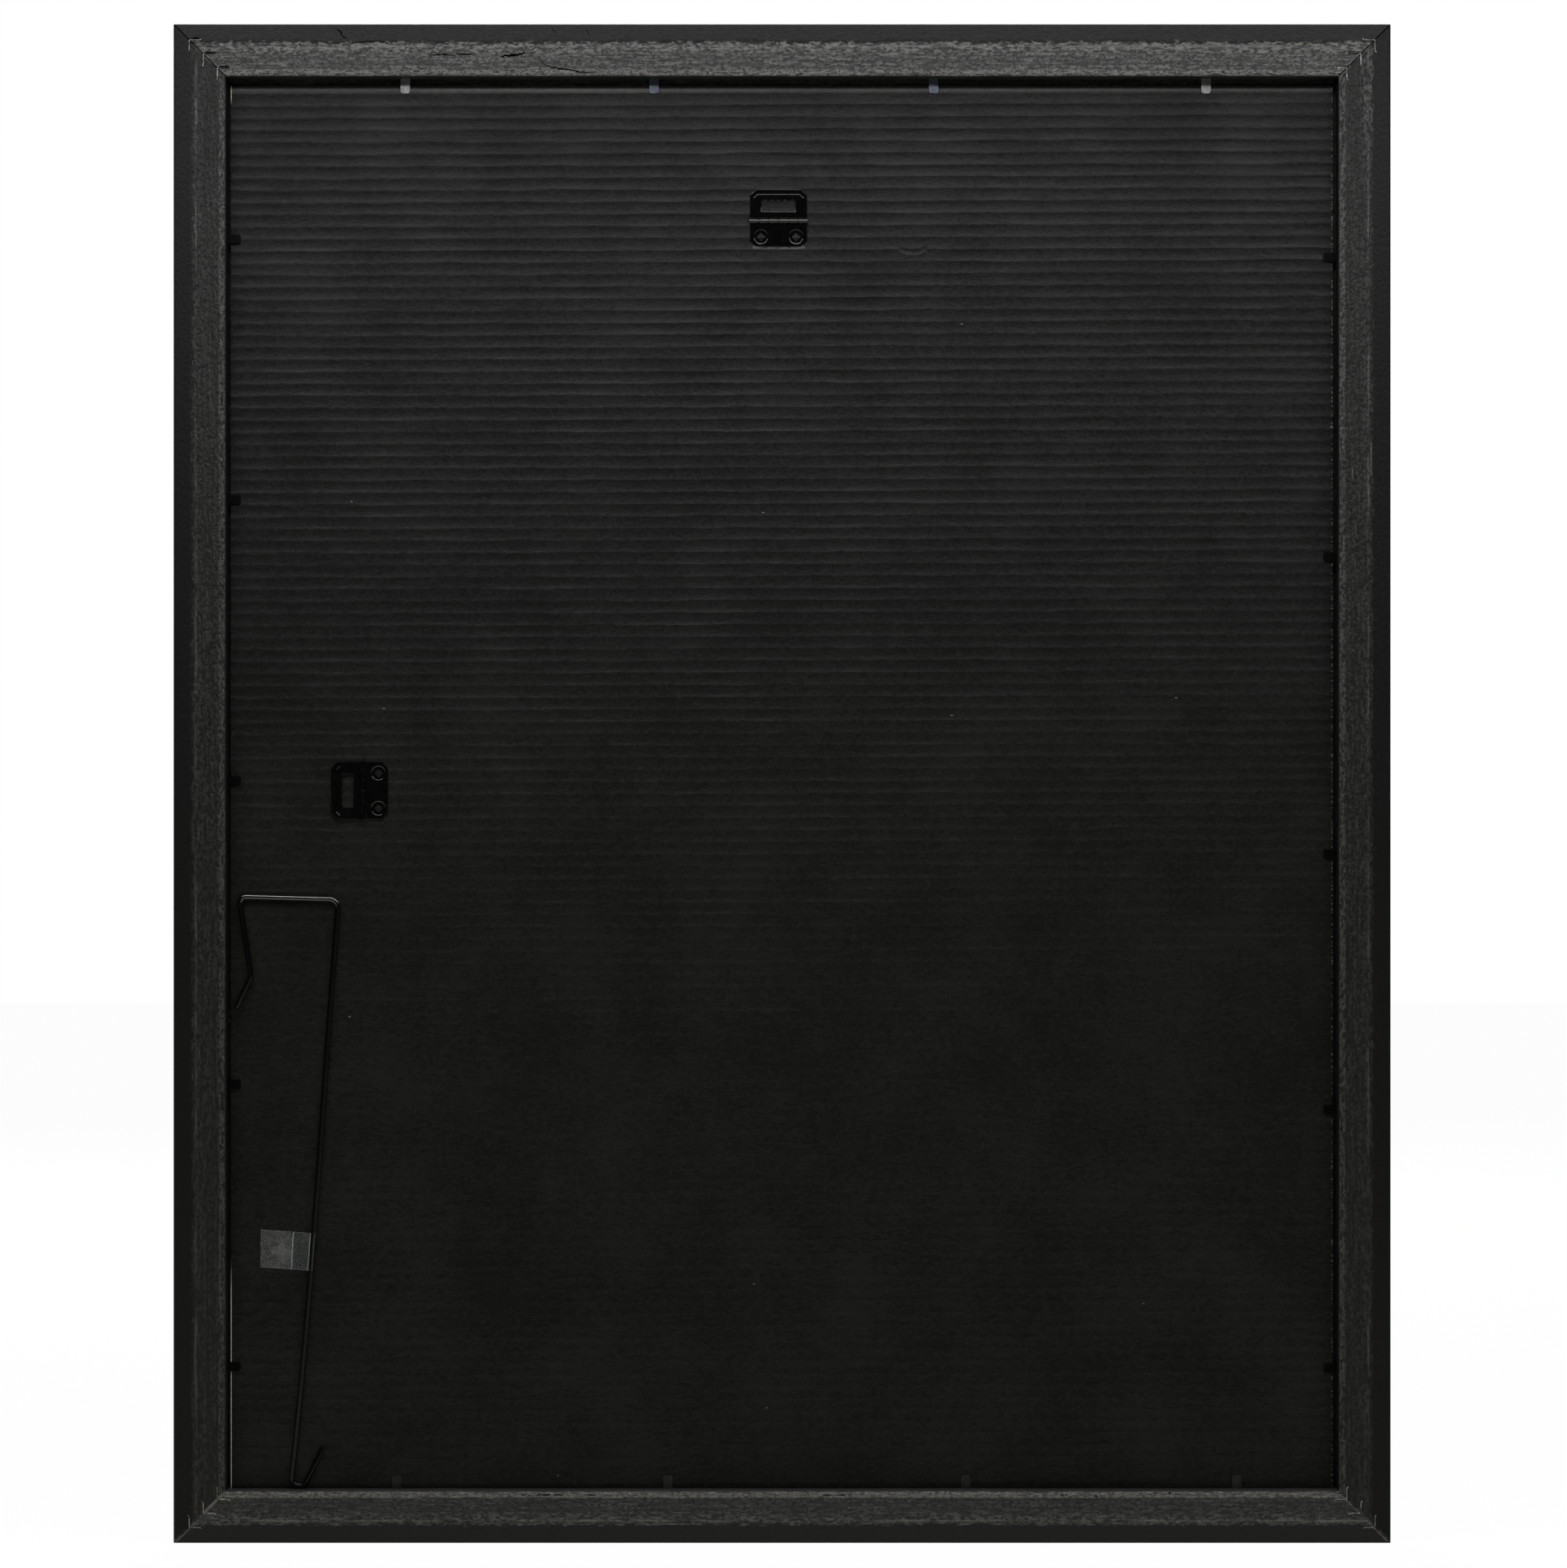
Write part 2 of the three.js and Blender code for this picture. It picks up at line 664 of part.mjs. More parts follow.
// Places on the long leg from the bar down to the hook, bent most at two thirds of the way
function legPoints() {
  const top = wirePoint(wireBarRight);
  const foot = hookPoints()[0];
  const peak = (2 / 3) ** 2 / 3;
  return Array.from({ length: legSpans + 1 }, (_, i) => {
    const t = i / legSpans;
    const bend = legBow * t * t * (1 - t) / peak;
    return top.clone().lerp(foot, t).add(new THREE.Vector3(bend, 0, 0));
  });
}

function wireStations() {
  const end = wirePoint(wireEnd, wireEndLift);
  const knee = wirePoint(wireKnee);
  const barLeft = wirePoint(wireBarLeft);
  const barRight = wirePoint(wireBarRight);
  const leg = legPoints().slice(1, -1);
  return [
    end,
    ...roundedCorner(end, knee, barLeft, wireKneeRadius),
    ...roundedCorner(knee, barLeft, barRight, wireBarRadius),
    ...roundedCorner(barLeft, barRight, leg[0], wireBarRadius),
    ...leg,
    ...hookPoints(),
    wirePoint(hookTip),
  ];
}

// A curve that an extrusion steps along station by station
class StationCurve extends THREE.Curve {
  constructor(stations) {
    super();
    this.stations = stations;
  }

  getPoint(t) {
    const place = t * (this.stations.length - 1);
    const i = Math.min(Math.floor(place), this.stations.length - 2);
    return this.stations[i].clone().lerp(this.stations[i + 1], place - i);
  }

  getPointAt(u) {
    return this.getPoint(u);
  }

  getTangentAt(u) {
    const i = Math.round(u * (this.stations.length - 1));
    const before = this.stations[Math.max(i - 1, 0)];
    const here = this.stations[i];
    const after = this.stations[Math.min(i + 1, this.stations.length - 1)];
    const arriving = here.clone().sub(before).normalize();
    const leaving = after.clone().sub(here).normalize();
    return arriving.add(leaving).normalize();
  }

  getSpacedPoints(divisions) {
    return this.getPoints(divisions);
  }
}

function wireGeometry() {
  const stations = wireStations();
  const section = shapeOf(Array.from({ length: wireSides }, (_, i) => {
    const angle = 2 * Math.PI * i / wireSides;
    return [wireRadius * Math.cos(angle), wireRadius * Math.sin(angle)];
  }));
  return new THREE.ExtrudeGeometry(section, {
    steps: stations.length - 1,
    extrudePath: new StationCurve(stations),
    bevelEnabled: false,
  });
}

// Centre line of the tape: x from the wire's centre, y up from the board
function tapeLine() {
  const low = tapeOverBoard + tapeThickness / 2;
  const centreHeight = wireOverBoard + wireRadius;
  const radius = wireRadius + tapeOverWire + tapeThickness / 2;
  const away = Math.hypot(tapeStuckTo, centreHeight - low);
  const towardsLift = Math.atan2(low - centreHeight, tapeStuckTo) + 2 * Math.PI;
  const start = towardsLift - Math.acos(radius / away);
  const line = [[tapeStuckFrom, low], [tapeStuckTo, low]];
  for (let i = 0; i <= tapeArcSteps; i += 1) {
    const angle = start * (1 - i / tapeArcSteps);
    line.push([radius * Math.cos(angle), centreHeight + radius * Math.sin(angle)]);
  }
  line.push([radius + tapeFoot, low]);
  return line;
}

function tapeToothCuts() {
  const pitch = tapeWidth / tapeTeeth;
  const teeth = [[tapeStuckFrom - overcut, -overcut], [tapeStuckFrom - overcut, tapeWidth + overcut]];
  for (let i = tapeTeeth; i > 0; i -= 1) {
    teeth.push([tapeStuckFrom, i * pitch], [tapeStuckFrom + tapeToothDepth, (i - 0.5) * pitch]);
  }
  teeth.push([tapeStuckFrom, 0]);
  return extrude(shapeOf(teeth), 2 * overcut).rotateX(Math.PI / 2).translate(0, overcut, 0);
}

function tapeGeometry() {
  const strip = extrude(ribbon(tapeLine(), tapeThickness), tapeWidth);
  const tape = subtract(strip, [tapeToothCuts()]);
  return tape.translate(0, 0, -tapeWidth / 2).rotateX(Math.PI);
}

function addWireStand() {
  addMesh(posterFrame, 'wire_stand', wireGeometry(), blackMetal);
  const [from, to] = legPoints().slice(tapeSpan, tapeSpan + 2);
  const tape = addMesh(posterFrame, 'packing_tape', tapeGeometry(), tapeFilm);
  tape.position.lerpVectors(from, to, tapeAlongSpan).setY(boardBack);
  tape.rotation.y = Math.atan2(from.x - to.x, from.z - to.z);
}

addRails();
addNails();
addSheets();
addPoints();
addHangers();
addWireStand();

export default posterFrame;
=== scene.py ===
# Poster frame seen from behind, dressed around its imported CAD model.
# Lengths are millimetres unless a note says otherwise.
# x runs to the right in the photo, z up and y away from the camera.

import math
import random

import bmesh
import bpy
import numpy as np
from mathutils import Matrix, Vector


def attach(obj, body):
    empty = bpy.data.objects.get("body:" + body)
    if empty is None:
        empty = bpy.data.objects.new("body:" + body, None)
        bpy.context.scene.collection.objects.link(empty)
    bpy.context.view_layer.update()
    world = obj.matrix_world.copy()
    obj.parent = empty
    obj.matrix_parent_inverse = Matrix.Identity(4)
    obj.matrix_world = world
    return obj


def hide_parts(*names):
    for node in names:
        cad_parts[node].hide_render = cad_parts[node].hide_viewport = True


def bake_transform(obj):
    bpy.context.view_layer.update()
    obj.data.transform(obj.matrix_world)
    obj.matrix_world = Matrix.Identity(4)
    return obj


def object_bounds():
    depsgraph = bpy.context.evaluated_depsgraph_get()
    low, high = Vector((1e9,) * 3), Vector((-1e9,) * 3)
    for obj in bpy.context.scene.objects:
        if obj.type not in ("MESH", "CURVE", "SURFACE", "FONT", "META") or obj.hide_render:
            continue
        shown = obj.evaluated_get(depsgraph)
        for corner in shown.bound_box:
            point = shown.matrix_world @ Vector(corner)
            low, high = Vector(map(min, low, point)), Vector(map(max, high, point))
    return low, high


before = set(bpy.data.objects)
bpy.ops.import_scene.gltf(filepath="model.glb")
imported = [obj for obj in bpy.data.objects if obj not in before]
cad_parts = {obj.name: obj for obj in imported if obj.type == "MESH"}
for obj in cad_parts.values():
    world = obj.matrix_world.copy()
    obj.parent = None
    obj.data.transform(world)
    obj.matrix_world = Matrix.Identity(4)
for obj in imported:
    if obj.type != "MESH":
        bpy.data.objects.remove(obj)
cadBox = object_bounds()

mm = 0.001
halfWide = cadBox[1].x / mm
halfHigh = cadBox[1].z / mm
backPlane = cadBox[0].y / mm
scene = bpy.context.scene


# Shader tools


# an operator that adds a Math node, and its reflected form
def operators(operation):
    def forward(self, other):
        return self.shader.maths(operation, self, other)

    def reflected(self, other):
        return self.shader.maths(operation, other, self)

    return forward, reflected


class Signal:
    def __init__(self, shader, socket):
        self.shader = shader
        self.socket = socket

    def __abs__(self):
        return self.shader.maths("ABSOLUTE", self)

    __add__, __radd__ = operators("ADD")
    __sub__, __rsub__ = operators("SUBTRACT")
    __mul__, __rmul__ = operators("MULTIPLY")
    __truediv__, __rtruediv__ = operators("DIVIDE")
    __pow__, __rpow__ = operators("POWER")


class Shader:
    def __init__(self, owner):
        owner.use_nodes = True
        self.owner = owner
        self.tree = owner.node_tree
        self.tree.nodes.clear()

    # any node: its settings come first, then the values or links of its sockets
    def node(self, kind, settings=None, sockets=None, output=0):
        made = self.tree.nodes.new(kind)
        for name, value in (settings or {}).items():
            setattr(made, name, value)
        for name, value in (sockets or {}).items():
            if isinstance(value, Signal):
                self.tree.links.new(value.socket, made.inputs[name])
            else:
                made.inputs[name].default_value = value
        if len(made.outputs) == 0:
            return None
        return Signal(self, made.outputs[output])

    def maths(self, operation, first, second=0.0):
        return self.node("ShaderNodeMath", {"operation": operation}, {0: first, 1: second})

    def least(self, first, second):
        return self.maths("MINIMUM", first, second)

    def most(self, first, second):
        return self.maths("MAXIMUM", first, second)

    # place on the object in millimetres
    def place(self):
        return self.times(self.node("ShaderNodeTexCoord", output="Object"), 1 / mm)

    # x, y and z of a vector
    def parts(self, vector):
        outputs = self.node("ShaderNodeSeparateXYZ", None, {0: vector}).socket.node.outputs
        return [Signal(self, outputs[i]) for i in range(3)]

    def vector(self, x, y, z):
        return self.node("ShaderNodeCombineXYZ", None, {0: x, 1: y, 2: z})

    # 1 for each named kind of ray that asks, otherwise 0
    def rays(self, *kinds):
        outputs = self.node("ShaderNodeLightPath").socket.node.outputs
        return [Signal(self, outputs[f"Is {kind} Ray"]) for kind in kinds]

    # noise with one lump per unit of its vector
    def noise(self, vector, scale=1.0, detail=3.0, rough=0.6, bend=0.0):
        sockets = {"Vector": vector, "Scale": scale, "Detail": detail}
        sockets.update({"Roughness": rough, "Distortion": bend})
        return self.node("ShaderNodeTexNoise", None, sockets)

    # 0 below low, 1 above high
    def between(self, value, low, high):
        sockets = {"Value": value, "From Min": low, "From Max": high, "To Min": 0.0, "To Max": 1.0}
        return self.node("ShaderNodeMapRange", {"interpolation_type": "SMOOTHSTEP"}, sockets)

    # 1 below low, 0 above high
    def under(self, value, low, high):
        return 1 - self.between(value, low, high)

    # rises from low to full, stays, and falls from held to gone
    def within(self, value, low, full, held, gone):
        return self.between(value, low, full) * self.under(value, held, gone)

    def mixed(self, mask, first, second):
        sockets = {0: mask, 6: first, 7: second}
        return self.node("ShaderNodeMix", {"data_type": "RGBA"}, sockets, output=2)

    # a colour or vector times a number
    def times(self, colour, factor):
        if isinstance(colour, tuple):
            colour = colour[:3]
        return self.node("ShaderNodeVectorMath", {"operation": "SCALE"}, {0: colour, "Scale": factor})

    def bump(self, height, distance):
        sockets = {"Strength": 1.0, "Distance": distance * mm, "Height": height}
        return self.node("ShaderNodeBump", None, sockets)

    def principled(self, sockets):
        return self.node("ShaderNodeBsdfPrincipled", None, sockets)

    def blend(self, mask, first, second):
        return self.node("ShaderNodeMixShader", None, {0: mask, 1: first, 2: second})

    # one finish with two strengths of gloss, mixed by a mask
    def twoGloss(self, mask, glosses, sockets):
        coats = [self.principled({**sockets, "Specular IOR Level": gloss}) for gloss in glosses]
        return self.blend(mask, *coats)

    def finish(self, surface):
        self.node("ShaderNodeOutputMaterial", None, {"Surface": surface})
        return self.owner

    def surface(self, sockets):
        return self.finish(self.principled(sockets))


def newShader(name):
    return Shader(bpy.data.materials.new(name))


# linear colour of a grey level or of levels from 0 to 255
def paint(red, green=None, blue=None):
    levels = (red, red if green is None else green, red if blue is None else blue)
    linear = [(v / 255 / 12.92) if v <= 10.31 else ((v / 255 + 0.055) / 1.055) ** 2.4 for v in levels]
    return (*linear, 1.0)


# Mesh tools. A solid is its points, in millimetres, and its faces


noiseCells = (97, 89)


# smooth random numbers from 0 to 1, one lump per unit of u and v
def field(u, v, seed):
    grid = np.random.default_rng(seed).random(noiseCells)
    u, v = np.broadcast_arrays(np.asarray(u, float), np.asarray(v, float))
    column = np.floor(u).astype(int)
    row = np.floor(v).astype(int)
    a = u - column
    b = v - row
    a = a * a * (3 - 2 * a)
    b = b * b * (3 - 2 * b)

    def corner(i, j):
        return grid[(column + i) % noiseCells[0], (row + j) % noiseCells[1]]

    low = corner(0, 0) * (1 - a) + corner(1, 0) * a
    high = corner(0, 1) * (1 - a) + corner(1, 1) * a
    return low * (1 - b) + high * b


def layered(u, v, seed, layers=3):
    total = 0
    weight = 0
    for i in range(layers):
        share = 0.5 ** i
        total = total + share * field(np.asarray(u) * 2 ** i, np.asarray(v) * 2 ** i, seed + i)
        weight += share
    return total / weight


def smooth(value, low, high):
    t = np.clip((np.asarray(value, float) - low) / (high - low), 0, 1)
    return t * t * (3 - 2 * t)


# solid between closed rings of points, capped at both ends
def loft(rings):
    rings = [np.asarray(ring, float) for ring in rings]
    count = len(rings[0])
    points = np.concatenate(rings)
    faces = []
    for i in range(len(rings) - 1):
        a = i * count
        for j in range(count):
            k = (j + 1) % count
            faces.append((a + j, a + k, a + count + k, a + count + j))
    faces.append(tuple(range(count))[::-1])
    faces.append(tuple(range(len(points) - count, len(points))))
    return points, faces


# section swept along a line; its second coordinate stays along up
def sweep(line, section, up=(0, 1, 0), scales=None):
    line = np.asarray(line, float)
    section = np.asarray(section, float)
    up = np.asarray(up, float)
    steps = np.diff(line, axis=0)
    steps /= np.linalg.norm(steps, axis=1)[:, None]
    rings = []
    for i, point in enumerate(line):
        before = steps[max(i - 1, 0)]
        after = steps[min(i, len(steps) - 1)]
        along = before + after
        along /= np.linalg.norm(along)
        aside = np.cross(along, up)
        aside /= np.linalg.norm(aside)
        over = np.cross(aside, along)
        stretch = 1 / max(np.dot(along, after), 0.4)
        size = 1 if scales is None else scales[i]
        spread = np.outer(section[:, 0] * stretch, aside) + np.outer(section[:, 1], over)
        rings.append(point + size * spread)
    return loft(rings)


def circle(radius, sides, centre=(0, 0)):
    angles = np.arange(sides) * 2 * math.pi / sides
    return [(centre[0] + radius * math.cos(a), centre[1] + radius * math.sin(a)) for a in angles]


def roundedBox(width, height, radius, steps=2):
    corners = [(1, 1, 0), (-1, 1, 90), (-1, -1, 180), (1, -1, 270)]
    section = []
    for signX, signY, start in corners:
        for i in range(steps + 1):
            angle = math.radians(start + 90 * i / steps)
            x = signX * (width / 2 - radius) + radius * math.cos(angle)
            y = signY * (height / 2 - radius) + radius * math.sin(angle)
            section.append((x, y))
    return section


def merged(solids):
    points = []
    faces = []
    start = 0
    for somePoints, someFaces in solids:
        points.append(np.asarray(somePoints, float))
        faces += [tuple(i + start for i in face) for face in someFaces]
        start += len(somePoints)
    return np.concatenate(points), faces


def rotation(degrees, axis):
    return Matrix.Rotation(math.radians(degrees), 4, axis)


def moved(solid, matrix):
    points, faces = solid
    matrix = np.array(matrix)
    return np.asarray(points) @ matrix[:3, :3].T + matrix[:3, 3], faces


def meshFrom(name, solid, scale=1.0):
    points, faces = solid
    mesh = bpy.data.meshes.new(name)
    mesh.from_pydata((np.asarray(points) * scale).tolist(), [], faces)
    work = bmesh.new()
    work.from_mesh(mesh)
    bmesh.ops.recalc_face_normals(work, faces=work.faces)
    work.to_mesh(mesh)
    work.free()
    return mesh


def objectFrom(name, mesh):
    made = bpy.data.objects.new(name, mesh)
    scene.collection.objects.link(made)
    return made


def solidOf(mesh):
    points = np.zeros(len(mesh.vertices) * 3)
    mesh.vertices.foreach_get("co", points)
    return points.reshape(-1, 3), [tuple(face.vertices) for face in mesh.polygons]


# the mesh of an object with its modifiers applied
def finalMesh(made):
    bpy.context.view_layer.update()
    graph = bpy.context.evaluated_depsgraph_get()
    return bpy.data.meshes.new_from_object(made.evaluated_get(graph))


# flat plate with holes and softened edges, centred on its own plane
def plate(loops, thickness, edge):
    curve = bpy.data.curves.new("plate", "CURVE")
    curve.dimensions = "2D"
    curve.fill_mode = "BOTH"
    curve.extrude = thickness / 2 - edge
    curve.bevel_depth = edge
    curve.bevel_resolution = 1
    curve.offset = -edge
    for loop in loops:
        spline = curve.splines.new("POLY")
        spline.points.add(len(loop) - 1)
        for point, (x, y) in zip(spline.points, loop):
            point.co = (x, y, 0, 1)
        spline.use_cyclic_u = True
    holder = objectFrom("plate", curve)
    mesh = finalMesh(holder)
    bpy.data.objects.remove(holder)
    work = bmesh.new()
    work.from_mesh(mesh)
    bmesh.ops.remove_doubles(work, verts=work.verts, dist=0.002)
    work.to_mesh(mesh)
    work.free()
    return solidOf(mesh)


# one solid after another added to or cut from the first
def combined(first, others, operation):
    base = objectFrom("base", meshFrom("base", first))
    tools = []
    for other in others:
        tool = objectFrom("tool", meshFrom("tool", other))
        tools.append(tool)
        modifier = base.modifiers.new("combine", "BOOLEAN")
        modifier.operation = operation
        modifier.solver = "EXACT"
        modifier.object = tool
    result = solidOf(finalMesh(base))
    for made in [base, *tools]:
        bpy.data.objects.remove(made)
    return result


# a finished piece in the frame's own axes, riding on its body
def makePiece(name, solid, material, body=None, nodes=(), angle=35, weighted=False):
    mesh = meshFrom(name, solid, mm)
    mesh.polygons.foreach_set("use_smooth", [True] * len(mesh.polygons))
    mesh.set_sharp_from_angle(angle=math.radians(angle))
    mesh.materials.append(material)
    piece = objectFrom(name, mesh)
    if weighted:
        modifier = piece.modifiers.new("normals", "WEIGHTED_NORMAL")
        modifier.keep_sharp = True
    if body:
        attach(piece, body)
    if nodes:
        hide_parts(*nodes)
    return piece


# Camera, lamps and room

view = {
    "imageSize": (1931, 1932),  # pixels
    "frameCentre": (963.75, 965.5),  # pixel at the frame's own centre
    "scale": 0.4116,  # per pixel at the backing board
    "boardFace": 0.6,  # y
    "distance": 2850,
    "sensor": 36,
    "clip": (0.1, 100),  # metres
}


def addCamera():
    width, height = view["imageSize"]
    data = bpy.data.cameras.new("camera")
    data.sensor_width = view["sensor"]
    data.lens = view["sensor"] * view["distance"] / (view["scale"] * max(width, height))
    data.clip_start, data.clip_end = view["clip"]
    camera = bpy.data.objects.new("camera", data)
    scene.collection.objects.link(camera)
    x = (width / 2 - view["frameCentre"][0]) * view["scale"]
    z = (view["frameCentre"][1] - height / 2) * view["scale"]
    camera.location = Vector((x, view["boardFace"] - view["distance"], z)) * mm
    camera.rotation_euler = (math.radians(90), 0, 0)
    scene.camera = camera


# x and z at the board of a pixel in the photograph
def placeOf(px, py):
    x = (px - view["frameCentre"][0]) * view["scale"]
    z = (view["frameCentre"][1] - py) * view["scale"]
    return x, z


# metres and watts
light = {
    "softbox": {"at": (0.06, -0.38, 0.5), "size": (1.4, 0.16), "aim": (0.06, -0.38, 0), "power": 11.2},
    "front": {"at": (-0.4, 2.6, 1.3), "size": (2.0, 1.4), "aim": (0, 0, 0), "power": 96},
    "room": 0.2,  # strength of the light from all round
    "roomTint": (1, 1, 0.93, 1),
    "roomGloss": 0.02,  # what gloss on the camera's side reflects
    "horizon": 0.05,  # half width of the change from there to the white backdrop
}
white = (1, 1, 1, 1)


def addLamp(name, facts):
    data = bpy.data.lights.new(name, "AREA")
    data.shape = "RECTANGLE"
    data.size, data.size_y = facts["size"]
    data.energy = facts["power"]
    lamp = bpy.data.objects.new(name, data)
    scene.collection.objects.link(lamp)
    lamp.location = facts["at"]
    towards = Vector(facts["aim"]) - Vector(facts["at"])
    lamp.rotation_euler = towards.to_track_quat("-Z", "Y").to_euler()
    lamp.visible_camera = False


def addRoom():
    scene.world = bpy.data.worlds.new("room")
    shader = Shader(scene.world)
    seen, glossy, through = shader.rays("Camera", "Glossy", "Transmission")
    direction = shader.node("ShaderNodeTexCoord", output="Generated")
    towardsFront = shader.between(shader.parts(direction)[1], -light["horizon"], light["horizon"])
    backdrop = towardsFront * (1 - light["roomGloss"]) + light["roomGloss"]
    reflected = shader.most(glossy, through)
    strength = seen + (1 - seen) * (reflected * backdrop + (1 - reflected) * light["room"])
    colour = shader.mixed(shader.most(seen, reflected), light["roomTint"], white)
    lit = shader.node("ShaderNodeBackground", None, {"Color": colour, "Strength": strength})
    shader.node("ShaderNodeOutputWorld", None, {"Surface": lit})


floorFacts = {
    "size": 14,  # metres
    "below": 0.0002,  # metres under the frame
    "white": 0.97,  # share of plain white that the camera sees
    "colour": paint(217, 217, 207),
}


def addFloor():
    half = floorFacts["size"] / 2
    mesh = bpy.data.meshes.new("floor")
    low = cadBox[0].z - floorFacts["below"]
    edges = [(-half, -half, low), (half, -half, low), (half, half, low), (-half, half, low)]
    mesh.from_pydata(edges, [], [(0, 1, 2, 3)])
    floor = objectFrom("floor", mesh)
    shader = newShader("paleFloor")
    seen = shader.most(*shader.rays("Camera", "Transmission"))
    matt = shader.node("ShaderNodeBsdfDiffuse", None, {"Color": floorFacts["colour"]})
    glow = shader.node("ShaderNodeEmission", None, {"Color": white, "Strength": 1.0})
    mesh.materials.append(shader.finish(shader.blend(seen * floorFacts["white"], matt, glow)))


addCamera()
addLamp("softbox", light["softbox"])
addLamp("frontBox", light["front"])
addRoom()
addFloor()
scene.view_settings.view_transform = "Standard"
print("camera, lamps and room are in place")


# Rails

rail = {
    "backWidth": 26.3,
    "frontWidth": 34.2,
    "depth": 21,
    "rebateFloor": 16.5,
    "bandWidth": 9,
    "bandDrop": 0.3,
    "backCorner": 1.2,
    "frontCorner": 3,
    "sightCorner": 2.5,
    "mitreGap": 0.15,
    "tightGap": 0.02,  # below the back
    "rowStep": 0.6,
    "stationStep": 2.2,
    "nearMitre": (0, 0.22, 0.6, 1.3, 2.4, 3.8, 5.4),
    "evenFrom": 42,  # stations run parallel to the mitre this far
    "mitreDrop": 0.12,
    "ragged": 2.2,  # how far the wrap's torn edge wanders
    "rawDepth": 0.05,  # of the raw back under the wrap, at least
    "grainDepth": 0.16,
    "fineDepth": 0.1,
    "tornDepth": 0.22,
    "edgeDepth": (0.12, 0.3),  # at the rebate, and what varies there
    "deepest": 0.6,
    "outerStreak": 11.3,
    "innerStreak": 24.4,
}

sides = {
    "top": {"along": (1, 0), "out": (0, 1), "half": halfHigh, "reach": halfWide, "seed": 11},
    "right": {"along": (0, -1), "out": (1, 0), "half": halfWide, "reach": halfHigh, "seed": 21},
    "bottom": {"along": (-1, 0), "out": (0, -1), "half": halfHigh, "reach": halfWide, "seed": 31},
    "left": {"along": (0, 1), "out": (-1, 0), "half": halfWide, "reach": halfHigh, "seed": 41},
}


# points in the frame's axes, from places along a side, outwards from the centre, and y
def onSide(side, along, out, y):
    along, out, y = np.broadcast_arrays(*(np.asarray(v, float) for v in (along, out, y)))
    x = along * side["along"][0] + out * side["out"][0]
    z = along * side["along"][1] + out * side["out"][1]
    return np.stack([x, y, z], axis=-1)


def arcRows(centreP, centreQ, radius, start, end, steps=6):
    rows = []
    for i in range(steps + 1):
        angle = math.radians(start + (end - start) * i / steps)
        rows.append((centreP + radius * math.cos(angle), centreQ + radius * math.sin(angle)))
    return rows


# rows round the moulding's section: inset from the outer edge, and depth from the back
def railRows():
    r = rail
    rows = []
    count = round((r["backWidth"] - r["bandWidth"]) / r["rowStep"])
    for i in range(count):
        rows.append((r["backWidth"] - (r["backWidth"] - r["bandWidth"]) * i / count, 0))
    for i in range(8):
        t = i / 8
        inset = r["bandWidth"] + (r["backCorner"] - r["bandWidth"]) * t
        rows.append((inset, r["bandDrop"] * t))
    rows += arcRows(r["backCorner"], r["bandDrop"] + r["backCorner"], r["backCorner"], 270, 180)
    rows += [(0, q) for q in (5, 9, 13)]
    front = r["depth"] - r["frontCorner"]
    rows += arcRows(r["frontCorner"], front, r["frontCorner"], 180, 90)
    rows += [(p, r["depth"]) for p in (9, 15, 21, 27)]
    sight = (r["frontWidth"] - r["sightCorner"], r["depth"] - r["sightCorner"])
    rows += arcRows(sight[0], sight[1], r["sightCorner"], 90, 0)
    rows += [(r["frontWidth"], r["rebateFloor"]), (r["backWidth"], r["rebateFloor"])]
    rows += [(r["backWidth"], q) for q in (13, 9, 5, 2.5, 1.2, 0.5)]
    return np.array(rows)


# signed places of the stations, for a row that reaches this far each way
def stationsFor(reach, halfLength):
    near = list(rail["nearMitre"])
    step = rail["stationStep"]
    while near[-1] + step < rail["evenFrom"]:
        near.append(near[-1] + step)
    rest = reach - rail["evenFrom"]
    count = round((halfLength - rail["evenFrom"]) / step)
    middle = [rest * (1 - i / count) for i in range(count + 1)]
    half = [reach - d for d in near] + middle
    return np.array([-v for v in half] + half[-2::-1])


# how far the raw back lies below the moulding's own surface
def rawRelief(along, inset, seed):
    r = rail
    ragged = (layered(along / 7, 0, seed, 3) - 0.5) * r["ragged"]
    raw = smooth(inset + ragged, r["bandWidth"] - 0.4, r["bandWidth"] + 0.5)
    grain = layered(along / 26, inset / 1.3, seed + 3, 3)
    fine = layered(along / 5, inset / 0.7, seed + 6, 2)
    depth = r["rawDepth"] + r["grainDepth"] * grain + r["fineDepth"] * fine
    streak = np.exp(-((inset - r["outerStreak"]) / 0.8) ** 2)
    streak = streak * smooth(field(along / 16, 3.5, seed + 9), 0.35, 0.6)
    inner = np.exp(-((inset - r["innerStreak"]) / 1.3) ** 2)
    torn = smooth(layered(along / 9, inset / 0.8, seed + 12, 3), 0.56, 0.66)
    depth = depth - 0.1 * streak - 0.07 * inner + r["tornDepth"] * torn * inner
    edge = smooth(inset, r["backWidth"] - 0.9, r["backWidth"])
    worn, uneven = r["edgeDepth"]
    depth = depth + edge * (worn + uneven * layered(along / 4, 0, seed + 15, 2))
    return np.clip(raw * depth, 0, r["deepest"])


